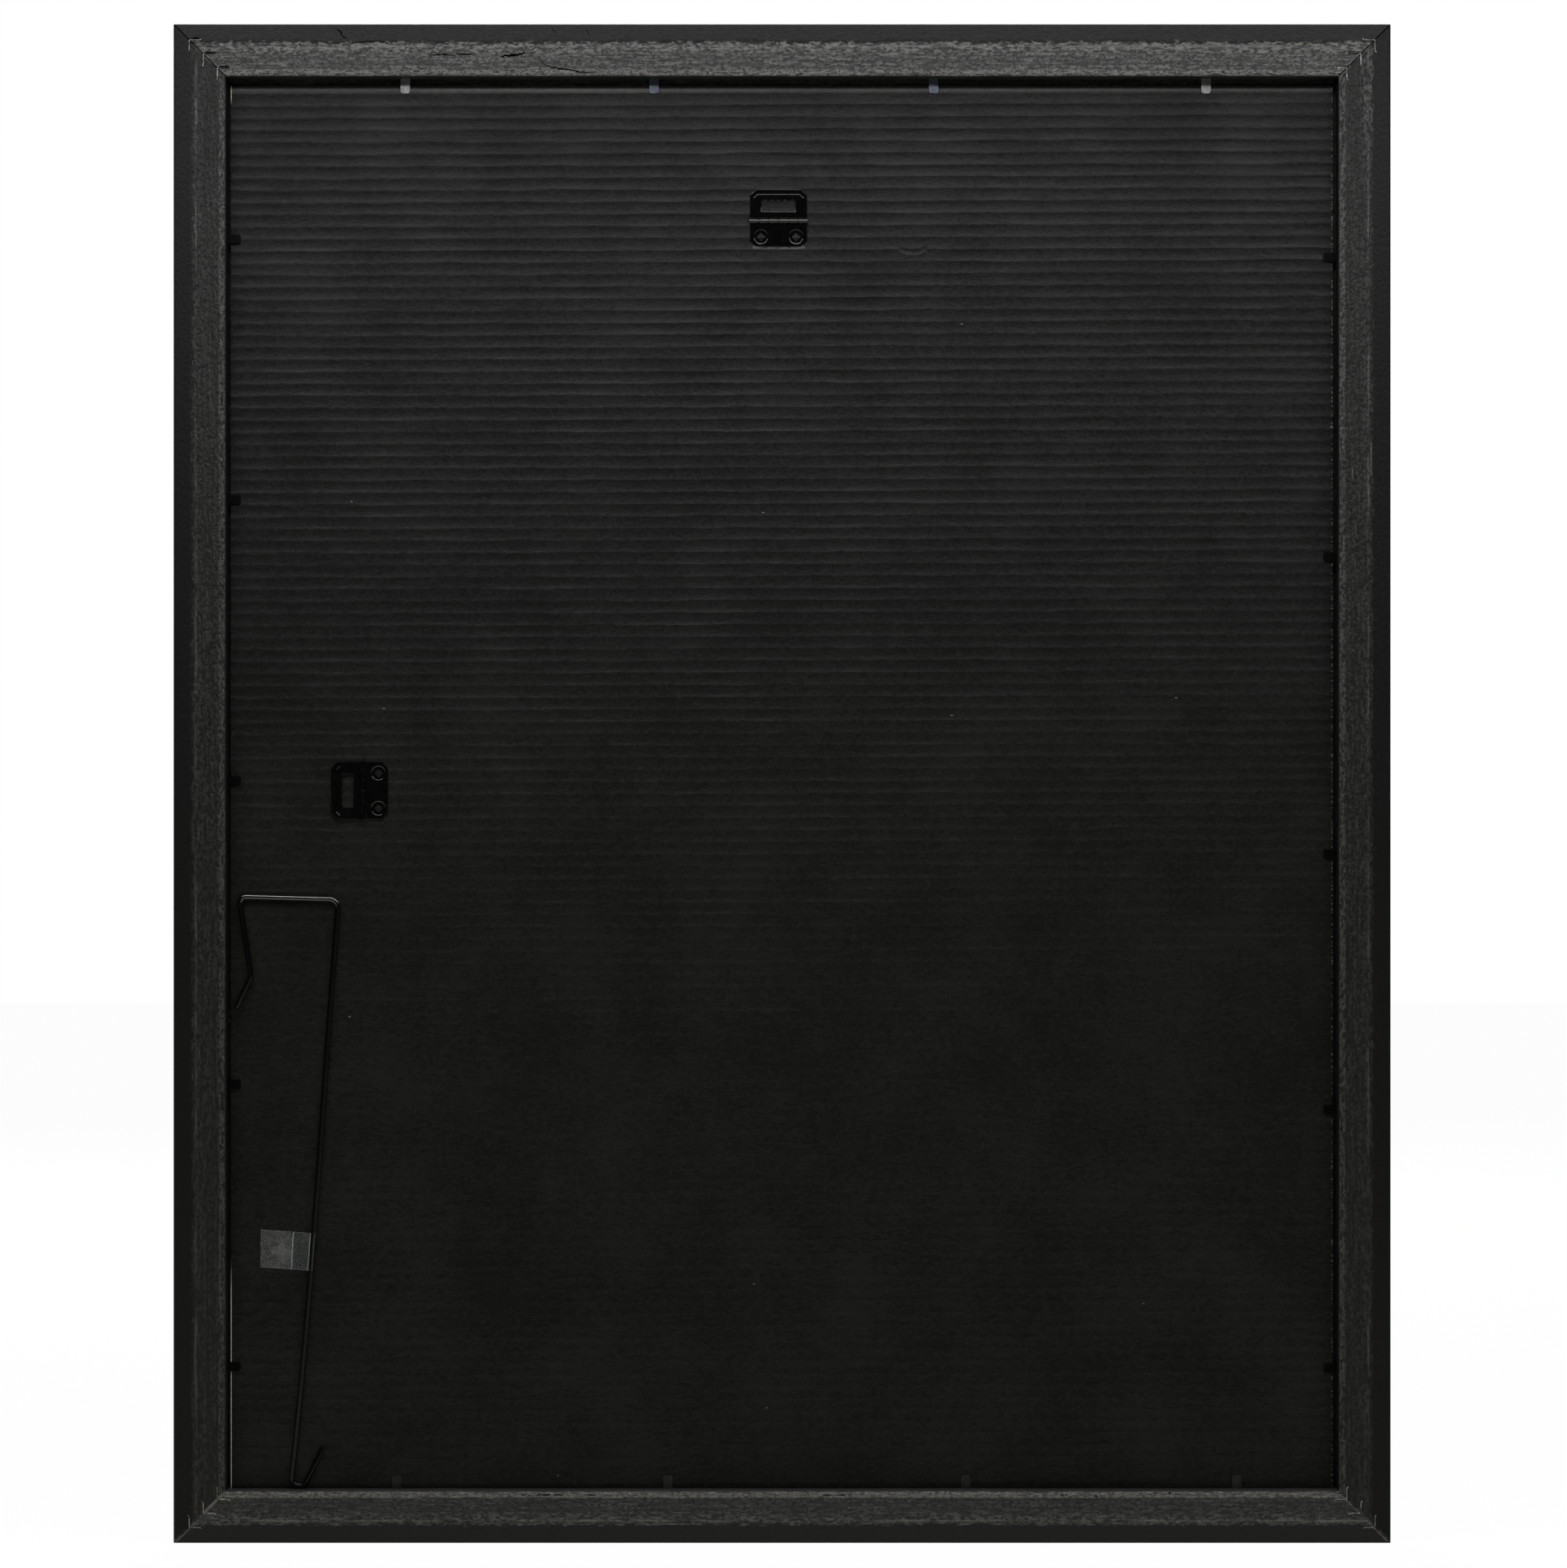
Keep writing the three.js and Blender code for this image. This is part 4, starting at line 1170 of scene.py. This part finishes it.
def glazingMaterial():
    shader = newShader("clearGlazing")
    haze = shader.noise(shader.place(), 0.012)
    clear = shader.node("ShaderNodeBsdfTransparent", None, {"Color": (0.96, 0.975, 0.97, 1)})
    gloss = shader.principled({
        "Base Color": (0.6, 0.64, 0.64, 1),
        "Roughness": 0.03 + 0.05 * haze,
        "Specular IOR Level": 0.5,
    })
    edge = shader.node("ShaderNodeLayerWeight", None, {"Blend": 0.25}, output="Facing")
    return shader.finish(shader.blend(0.05 + 0.55 * edge ** 2.0 + 0.02 * haze, clear, gloss))


dress("board_fluted_core", coreMaterial())
dress("board_front_liner", linerMaterial("boardLinerFront", False))
dress("poster_insert", insertMaterial())
dress("glazing_sheet", glazingMaterial())


# Flexible points

point = {
    "width": 4.8,
    "neck": 4.4,
    "thickness": 0.5,
    "inWood": 8.5,
    "tipRadius": 1.2,
    "centre": 0.1,  # y of the strip's middle
    "edge": 0.14,
    "head": 0.6,  # taper of the end in the wood
    "bend": (0.6, -1.6),  # two places along the strip, from the wall; the strip itself is drawn straight
    "reach": {"top": 7.6, "right": 6.8, "bottom": 6.8, "left": 6.8},
    "places": {  # x or z of each, and its steel; the steels are lit and shaded copies of one, lighter on top, painted black on the sides and dim below as shade
        "top": {-191.1: "bright", -64.9: "blued", 76.9: "blued", 215.0: "bright"},
        "right": dict.fromkeys((-296.5, -165.3, -35.6, 115.0, 266.9), "black"),
        "bottom": dict.fromkeys((-195.4, -57.9, 93.1, 230.6), "shadedBelow"),
        "left": dict.fromkeys((-295.7, -152.5, 1.4, 143.9, 276.0), "black"),
    },
    "steels": {  # two colours, metallic, least roughness and gloss
        "bright": (paint(118, 118, 120), paint(82, 82, 83), 0.7, 0.4, 0.5),
        "blued": (paint(72, 79, 92), paint(43, 48, 58), 0.6, 0.4, 0.5),
        # the side and bottom steels are painted dark as shade: black on the sides, dim below
        "black": (paint(3), paint(2), 0.0, 0.4, 0.05),
        "shadedBelow": (paint(36), paint(22), 0.4, 0.42, 0.3),
    },
}


def pointSteel(name):
    first, second, metallic, rough, gloss = point["steels"][name]
    shader = newShader(f"point{name.capitalize()}")
    place = shader.place()
    fine = shader.noise(place, 1.6)
    patches = shader.noise(place, 0.35)
    return shader.surface({
        "Base Color": shader.mixed(shader.between(fine * 0.5 + patches * 0.5, 0.38, 0.62), first, second),
        "Metallic": metallic,
        "Specular IOR Level": gloss,
        "Roughness": rough + 0.2 * fine,
        "Normal": shader.bump(fine, 0.02),
    })


def pointSolid(side, turned, reach):
    p = point
    wall = side["half"] - rail["backWidth"]
    tip = p["tipRadius"]
    stations = [-p["inWood"], p["head"] - p["inWood"], -6, -4, -2.4, -1.4, -0.8, -0.4]
    stations += [0, 0.4, 0.8, 1.2, 1.7, 2.4, 3.4, 4.6]
    stations += [reach - tip * s for s in (1.0, 0.75, 0.5, 0.3, 0.14, 0.04, 0)]
    rings = []
    for s in stations:
        half = p["width"] / 2 if s > 0 else p["neck"] / 2
        fromTip = reach - s
        if fromTip < tip:
            half -= tip - math.sqrt(max(tip ** 2 - (tip - fromTip) ** 2, 0))
        half -= max(p["head"] - (s + p["inWood"]), 0)
        section = roundedBox(2 * half, p["thickness"], p["edge"])
        along = [turned + a for a, _ in section]
        rings.append(onSide(side, along, wall - s, [p["centre"] + b for _, b in section]))
    return loft(rings)


def addPoints():
    steels = {name: pointSteel(name) for name in point["steels"]}
    for name, side in sides.items():
        wall = side["half"] - rail["backWidth"]
        for i, (place, steel) in enumerate(point["places"][name].items()):
            turned = sum(side["along"]) * place
            solid = pointSolid(side, turned, point["reach"][name])
            piece = makePiece(f"{name}_board_point_{i + 1}", solid, steels[steel], weighted=True)
            ends = [tuple(onSide(side, turned, wall + s, point["centre"]) * mm) for s in point["bend"]]
            f"{name}_point_{i + 1}"
            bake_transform(piece)
            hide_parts(f"{name}_flexible_point_{i + 1}")


addPoints()
print("flexible points are in")


# Hangers

hanger = {
    "leafThickness": 0.6,
    "leafWidth": 28.8,
    "swingLength": 15.9,
    "swingChamfer": (3.2, 2.9),
    "fixedLength": 12.8,
    "fixedChamfer": (3, 2.7),
    "barrelLength": 29.6,
    "barrelRadius": 1.3,
    "bore": 0.75,
    "pinRadius": 0.65,
    "knuckles": 6,
    "knuckleGap": 0.48,
    "clearance": 0.4,
    "windowFromHinge": 4.65,
    "windowHeight": 6.6,
    "windowMargin": 0.2,
    "notches": 5,
    "notchPitch": 3.4,
    "notchWidth": 3,
    "notchDepth": 1.1,
    "beadWidth": 0.7,
    "beadHeight": 0.35,
    "beadAt": 13.4,
    "beadHalf": 10.7,
    "beadFoot": 1.9,
    "fixings": ((-8.9, -8), (8.9, -8)),
    "hole": 2.4,
    "dishRadius": 3.9,
    "dishWidth": 0.5,
    "dishDepth": 0.42,
    "prongLength": 2.4,
    "edge": 0.12,
    "hinges": {
        "top": {"at": (-1.8, -0.85, 285.3), "turn": 0, "open": 0},
        "side": {"at": (-212.7, -0.85, -3.6), "turn": 90, "open": 4},
    },
}
plateTop = hanger["leafThickness"] - hanger["barrelRadius"]


# from a hanger's own axes (along the hinge, towards the swing leaf, off the board) to the frame's
def hangerMatrix(facts):
    return Matrix.Translation(facts["at"]) @ rotation(90, "X") @ rotation(facts["turn"], "Z")


def leafOutline(length, chamfer):
    half = hanger["leafWidth"] / 2
    near = hanger["barrelRadius"] + hanger["clearance"]
    across, along = chamfer
    return [
        (-half, near), (half, near), (half, length - along), (half - across, length),
        (across - half, length), (-half, length - along),
    ]


def sawtoothWindow():
    h = hanger
    half = h["notches"] * h["notchPitch"] / 2 + h["windowMargin"]
    tips = h["windowFromHinge"] + h["windowHeight"] - h["notchDepth"]
    loop = [(half, h["windowFromHinge"]), (-half, h["windowFromHinge"]), (-half, tips)]
    for i in range(h["notches"]):
        middle = (i - (h["notches"] - 1) / 2) * h["notchPitch"]
        loop.append((middle - h["notchWidth"] / 2, tips))
        loop.append((middle, tips + h["notchDepth"]))
        loop.append((middle + h["notchWidth"] / 2, tips))
    loop.append((half, tips))
    return loop


def knuckleSolid(index):
    h = hanger
    strapEnd = h["barrelRadius"] + h["clearance"] + 0.35
    join = math.sqrt(h["barrelRadius"] ** 2 - plateTop ** 2)
    start = math.atan2(plateTop, join)
    outline = [(strapEnd, -h["barrelRadius"]), (strapEnd, plateTop)]
    steps = 20
    for i in range(steps + 1):
        angle = start + (1.5 * math.pi - start) * i / steps
        outline.append((h["barrelRadius"] * math.cos(angle), h["barrelRadius"] * math.sin(angle)))
    pitch = (h["barrelLength"] + h["knuckleGap"]) / h["knuckles"]
    thickness = pitch - h["knuckleGap"]
    points, faces = plate([outline, circle(h["bore"], 20)], thickness, 0.1)
    middle = index * pitch - h["barrelLength"] / 2 + thickness / 2
    placed = np.stack([points[:, 2] + middle, points[:, 0], points[:, 1]], axis=-1)
    return placed, faces


def leafPlate(loops):
    points, faces = plate(loops, hanger["leafThickness"], hanger["edge"])
    points = points + np.array([0, 0, plateTop - hanger["leafThickness"] / 2])
    return points, faces


def swingLeafSolid():
    h = hanger
    leaf = leafPlate([leafOutline(h["swingLength"], h["swingChamfer"]), sawtoothWindow()])
    half, foot, at = h["beadHalf"], h["beadFoot"], h["beadAt"]
    right = [(half + foot, foot), (half + 0.5, 0.5), (half + 0.1, 0.12), (half - 0.4, 0)]
    left = [(-x, down) for x, down in right[::-1]]
    line = [(x, at - down, plateTop) for x, down in [*right, (0, 0), *left]]
    section = [
        (h["beadWidth"] / 2 * math.cos(a), h["beadHeight"] * math.sin(a))
        for a in np.arange(12) * math.pi / 6
    ]
    bead = sweep(line, section, (0, 0, 1))
    return combined(leaf, [bead, *[knuckleSolid(i) for i in range(0, h["knuckles"], 2)]], "UNION")


def dishCutter(x, y):
    h = hanger
    floor = plateTop - h["dishDepth"]
    outer = h["dishRadius"]
    flat = outer - h["dishWidth"]
    rows = [(flat - 0.1, floor), (flat + 0.04, floor + 0.02), (flat + 0.18, floor + 0.1)]
    rows += [(outer - 0.14, plateTop - 0.04), (outer + 0.08, plateTop + 0.02), (outer + 0.08, 3)]
    return loft([[(px, py, w) for px, py in circle(r, 40, (x, y))] for r, w in rows])


def fixedLeafSolid():
    h = hanger
    leaf = leafPlate([leafOutline(h["fixedLength"], h["fixedChamfer"])])
    leaf = combined(leaf, [knuckleSolid(i) for i in range(0, h["knuckles"], 2)], "UNION")
    leaf = moved(leaf, rotation(180, "Z"))
    cutters = [dishCutter(x, y) for x, y in h["fixings"]]
    for x, y in h["fixings"]:
        square = circle(h["hole"], 4, (x, y))
        cutters.append(loft([[(px, py, w) for px, py in square] for w in (-5, 3)]))
    leaf = combined(leaf, cutters, "DIFFERENCE")
    prongs = []
    side = h["hole"] / math.sqrt(2)
    for x, y in h["fixings"]:
        for i in range(4):
            turn = Matrix.Translation((x, y, 0)) @ rotation(45 + 90 * i, "Z")
            top = plateTop - h["dishDepth"] - 0.02
            end = -h["barrelRadius"] - h["prongLength"]
            rings = []
            for w, half in ((top, 0.8), (top - 1.4, 0.62), (end, 0.25)):
                ends = [(-half, side), (half, side), (half, side + 0.45), (-half, side + 0.45)]
                rings.append([(px, py, w) for px, py in ends])
            prongs.append(moved(loft(rings), turn))
    return merged([leaf, *prongs])


def pinSolid():
    h = hanger
    half = h["barrelLength"] / 2
    ends = [(-half, 0.75), (-half + 0.15, 1), (half - 0.15, 1), (half, 0.75)]
    rings = [[(x, a * s, b * s) for a, b in circle(h["pinRadius"], 20)] for x, s in ends]
    return loft(rings)


def hangerMaterial():
    shader = newShader("hangerBlack")
    place = shader.place()
    fine = shader.noise(place, 2.2)
    cloud = shader.noise(place, 0.25, 2.0, 0.5)
    return shader.surface({
        "Base Color": shader.mixed(shader.between(cloud, 0.35, 0.65), paint(1), paint(3)),
        "Roughness": 0.07 + 0.05 * fine,
        "Specular IOR Level": 0.6,
        "Normal": shader.bump(fine, 0.008),
    })


def addHangers():
    black = hangerMaterial()
    swing, fixed, pin = swingLeafSolid(), fixedLeafSolid(), pinSolid()
    for name, facts in hanger["hinges"].items():
        place = hangerMatrix(facts)
        opened = place @ rotation(facts["open"], "X")
        own = f"{name}_hanger"
        for part, solid, at, body, node, smoothed in (
            ("sawtooth_leaf", swing, opened, f"{own}_leaf", "swing_leaf", True),
            ("pronged_leaf", fixed, place, "frame", "fixed_leaf", True),
            ("pin", pin, place, "frame", "hinge_pin", False),
        ):
            nodes = [f"{own}_{node}"]
            makePiece(f"{own}_{part}", moved(solid, at), black, body, nodes, 40, smoothed)


addHangers()
print("hangers are in")


# Wire stand and its tape

wire = {
    "radius": 1.4,
    "overBoard": 0.1,
    "sides": 24,
    "end": (4.7, 243.4),  # across and up from the recess's lower left corner
    "endLift": 2,
    "knee": (12.1, 260.2),
    "kneeRadius": 4,
    "barLeft": (6, 300.2),
    "barRight": (56.4, 298.8),
    "barRadius": 3,
    "barRightRadius": 4.2,
    "bow": 1.15,
    "hookAcross": 36.65,
    "hookRadius": 3.9,
    "hookStart": 174.6,
    "hookEnd": 335.9,
    "hookTip": (48.8, 21.5),
    "wallGap": 0.1,
    "legSteps": 60,
    "ends": ((0, 0.72), (0.12, 0.92), (0.3, 1.0)),  # rounding: distance from an end and share of the radius
    "colours": (paint(5), paint(8)),
    "gloss": (0.14, 0.66),  # of the legs and of the bar, whose stronger gloss is a painted sheen for its highlight
    "barSheenAbove": (-64, -61),
}
leftWall = -(halfWide - rail["backWidth"])
bottomWall = -(halfHigh - rail["backWidth"])


def wirePoint(place, lift=0.0):
    y = board["face"] - wire["overBoard"] - wire["radius"] - lift
    return Vector((leftWall + place[0], y, bottomWall + place[1]))


def roundedCorner(before, corner, after, radius, steps=12):
    toBefore = (before - corner).normalized()
    toAfter = (after - corner).normalized()
    half = toBefore.angle(toAfter) / 2
    centre = corner + (toBefore + toAfter).normalized() * radius / math.sin(half)
    first = corner + toBefore * radius / math.tan(half) - centre
    last = corner + toAfter * radius / math.tan(half) - centre
    axis = first.cross(last).normalized()
    sweepAngle = first.angle(last)
    return [centre + Matrix.Rotation(sweepAngle * i / steps, 3, axis) @ first for i in range(steps + 1)]


def hookPoints(steps=26):
    up = wire["wallGap"] + wire["radius"] + wire["hookRadius"]
    points = []
    for i in range(steps + 1):
        angle = math.radians(wire["hookStart"] + (wire["hookEnd"] - wire["hookStart"]) * i / steps)
        across = wire["hookAcross"] + wire["hookRadius"] * math.cos(angle)
        points.append(wirePoint((across, up + wire["hookRadius"] * math.sin(angle))))
    return points


def legPoint(t):
    top = wirePoint(wire["barRight"])
    foot = hookPoints()[0]
    bend = wire["bow"] * t * t * (1 - t) / ((2 / 3) ** 2 / 3)
    return top.lerp(foot, t) + Vector((bend, 0, 0))


def wireLine():
    end = wirePoint(wire["end"], wire["endLift"])
    knee = wirePoint(wire["knee"])
    barLeft = wirePoint(wire["barLeft"])
    barRight = wirePoint(wire["barRight"])
    leg = [legPoint(i / wire["legSteps"]) for i in range(2, wire["legSteps"])]
    line = [end]
    line += roundedCorner(end, knee, barLeft, wire["kneeRadius"])
    line += roundedCorner(knee, barLeft, barRight, wire["barRadius"])
    line += roundedCorner(barLeft, barRight, legPoint(0.5), wire["barRightRadius"])
    line += leg + hookPoints() + [wirePoint(wire["hookTip"])]
    return line


def wireSolid():
    line = wireLine()
    first = (line[1] - line[0]).normalized()
    last = (line[-1] - line[-2]).normalized()
    start = [line[0] + first * s for s, _ in wire["ends"]]
    end = [line[-1] - last * s for s, _ in wire["ends"][::-1]]
    tapering = [share for _, share in wire["ends"]]
    scales = [*tapering, *[1.0] * (len(line) - 2), *tapering[::-1]]
    return sweep([*start, *line[1:-1], *end], circle(wire["radius"], wire["sides"]), scales=scales)


def wireMaterial():
    shader = newShader("standWire")
    place = shader.place()
    fine = shader.noise(place, 1.2)
    worn = shader.noise(place, 0.12)
    # the bar above this height gets the stronger gloss: painted sheen
    barSheen = shader.between(shader.parts(place)[2], *wire["barSheenAbove"])
    return shader.finish(shader.twoGloss(barSheen, wire["gloss"], {
        "Base Color": shader.mixed(worn, *wire["colours"]),
        "Roughness": 0.06 + 0.05 * fine,
        "Normal": shader.bump(fine, 0.008),
    }))


makePiece("wire_leg", wireSolid(), wireMaterial(), "stand", ["wire_stand"], 60)
print("wire stand is in")

tape = {
    "width": 19,
    "thickness": 0.1,
    "overBoard": 0.1,
    "overWire": 0.1,
    "legPart": 0.6098,  # how far down the long leg its middle lies
    "stuckFrom": -26.5,
    "stuckTo": -7.8,
    "foot": 0.3,
    "seamAt": -10.2,
    "slope": 3.6,  # of its length, in degrees
    "startLean": 1.0,  # of its stuck end
    "teeth": 13,
    "toothDepth": 0.5,
    "acrossSteps": 46,
    "step": 0.45,
    "colours": (paint(74, 76, 80), paint(86, 86, 85)),  # loose and stuck
    "lightest": paint(132, 132, 130),
}


# centre line of the tape: x from the wire's centre, and height over the board
def tapeLine():
    t = tape
    low = t["overBoard"] + t["thickness"] / 2
    centre = wire["overBoard"] + wire["radius"]
    radius = wire["radius"] + t["overWire"] + t["thickness"] / 2
    away = math.hypot(t["stuckTo"], centre - low)
    start = math.atan2(low - centre, t["stuckTo"]) + 2 * math.pi - math.acos(radius / away)
    count = int((t["stuckTo"] - t["stuckFrom"]) / t["step"]) + 1
    line = [(t["stuckFrom"] + t["step"] * i, low) for i in range(count)]
    rise = (radius * math.cos(start), centre + radius * math.sin(start))
    for i in range(1, 15):
        s = i / 14
        eased = s * s * (3 - 2 * s)
        x = t["stuckTo"] + (rise[0] - t["stuckTo"]) * s
        line.append((x, low + (rise[1] - low) * (0.35 * eased + 0.65 * s)))
    for i in range(1, 17):
        angle = start * (1 - i / 16)
        line.append((radius * math.cos(angle), centre + radius * math.sin(angle)))
    line.append((radius + 0.1, low + 0.6))
    line.append((radius + t["foot"], low))
    return line


# the tape's middle and its turn towards the leg
def tapePlace():
    top = legPoint(tape["legPart"] - 0.02)
    foot = legPoint(tape["legPart"] + 0.02)
    return legPoint(tape["legPart"]), math.atan2(top.x - foot.x, top.z - foot.z)


def tapeSolid():
    t = tape
    line = np.array(tapeLine())
    count = t["acrossSteps"] + 1
    across = np.linspace(-t["width"] / 2, t["width"] / 2, count)
    tooth = (across / t["width"] + 0.5) * t["teeth"]
    tooth = t["toothDepth"] * (1 - np.abs(2 * (tooth - np.floor(tooth)) - 1))
    x = np.repeat(line[:, 0][:, None], count, axis=1)
    height = np.repeat(line[:, 1][:, None], count, axis=1)
    z = np.repeat(across[None, :], len(line), axis=0)
    share = np.clip((x - t["stuckFrom"]) / 2.0, 0, 1)
    x = x + (1 - share) * tooth[None, :]
    wave = layered(x / 3.1, z / 3.1 + 40, 91, 3) - 0.5
    lifted = smooth(x, t["stuckTo"] - 0.4, t["stuckTo"] + 2.5) * (1 - smooth(x, -1.6, 0.4))
    height = height + 0.05 * wave + lifted * (0.5 * (layered(x / 4, z / 7, 95, 2) - 0.5))
    height = np.maximum(height, t["overBoard"])
    seam = np.exp(-((x - t["seamAt"]) / 0.45) ** 2) * (0.5 + 0.5 * layered(z / 2.3, 0 * z, 97, 2))
    height = height + 0.22 * seam
    middle, turn = tapePlace()
    slope = math.radians(t["slope"])
    lean = turn + (math.radians(t["startLean"]) - turn) * np.clip(x / t["stuckFrom"], 0, 1)
    worldX = middle.x + x * math.cos(slope) + z * np.sin(lean)
    worldZ = middle.z - x * math.sin(slope) + z * np.cos(lean)

    def layer(offset):
        y = board["face"] - height - offset
        return np.stack([worldX, y, worldZ], axis=-1)

    outer = layer(t["thickness"] / 2)
    inner = layer(-t["thickness"] / 2)
    return loft([np.concatenate([outer[i], inner[i][::-1]]) for i in range(len(line))])


def tapeMaterial():
    shader = newShader("packingTape")
    place = shader.place()
    x, y, z = shader.parts(place)
    t = tape
    middle, turn = tapePlace()
    start = math.radians(t["startLean"])
    along = (z - middle.z) + (x - middle.x) * math.sin(math.radians(t["slope"]))
    leaning = shader.least(shader.most((x - middle.x) / t["stuckFrom"], 0.0), 1.0)
    across = (x - middle.x) - along * (turn + (start - turn) * leaning)
    stuck = shader.under(across, t["seamAt"], t["seamAt"] + 0.5)
    mottle = shader.noise(place, 0.28, 4.0, 0.7)
    fine = shader.noise(place, 1.6)
    cloudy = shader.between(mottle * 0.7 + fine * 0.3, 0.4, 0.62)
    fromMiddle = abs(across + 14.8) / 8 + abs(along + 1) / 8
    centre = shader.under(fromMiddle, 0.1, 1.3)

    # light lines: the rim, the fold at the wire, the seam where it lifts, a loop of trapped air, and a
    # painted highlight along the wire
    rim = shader.under(across - t["stuckFrom"], 0.2, 0.7)
    rim = shader.most(rim, shader.under(t["width"] / 2 - abs(along), 0.05, 0.3))
    fold = shader.under(abs(across + 1.5), 0.1, 0.3)
    seam = shader.under(abs(across - t["seamAt"] + (mottle - 0.5) * 1.6), 0.15, 0.6)
    onWire = shader.between(across, -1.3, -1.0)
    # painted highlight on the tape along the wire
    paintedHighlight = shader.under(abs(across - 0.6), 0.12, 0.4) * 0.15
    loopX = (across + 3.6) / 1.7
    loopZ = (along - 5.3) / 3.1
    loop = shader.under(abs(loopX * loopX + loopZ * loopZ - 1), 0.15, 0.6) * 0.3
    lines = shader.most(shader.most(rim * 0.55, fold * 0.7), shader.most(seam * (0.2 + 0.8 * fine), loop))
    lightest = shader.most(lines * (1 - onWire), paintedHighlight)

    opacity = 0.2 + stuck * (0.24 * cloudy + 0.3 * centre - 0.08) + 0.1 * fine
    colour = shader.mixed(stuck, *t["colours"])
    return shader.surface({
        "Base Color": shader.mixed(lightest, colour, t["lightest"]),
        "Roughness": 0.3 + 0.3 * stuck,
        "Alpha": shader.most(opacity * (1 - 0.95 * onWire), lightest),
        "Specular IOR Level": 0.3,
        "Normal": shader.bump(mottle * 0.6 + fine * 0.4, 0.03),
    })


makePiece("tape_strip", tapeSolid(), tapeMaterial(), "stand", ["packing_tape"], 60)
print("tape is in")
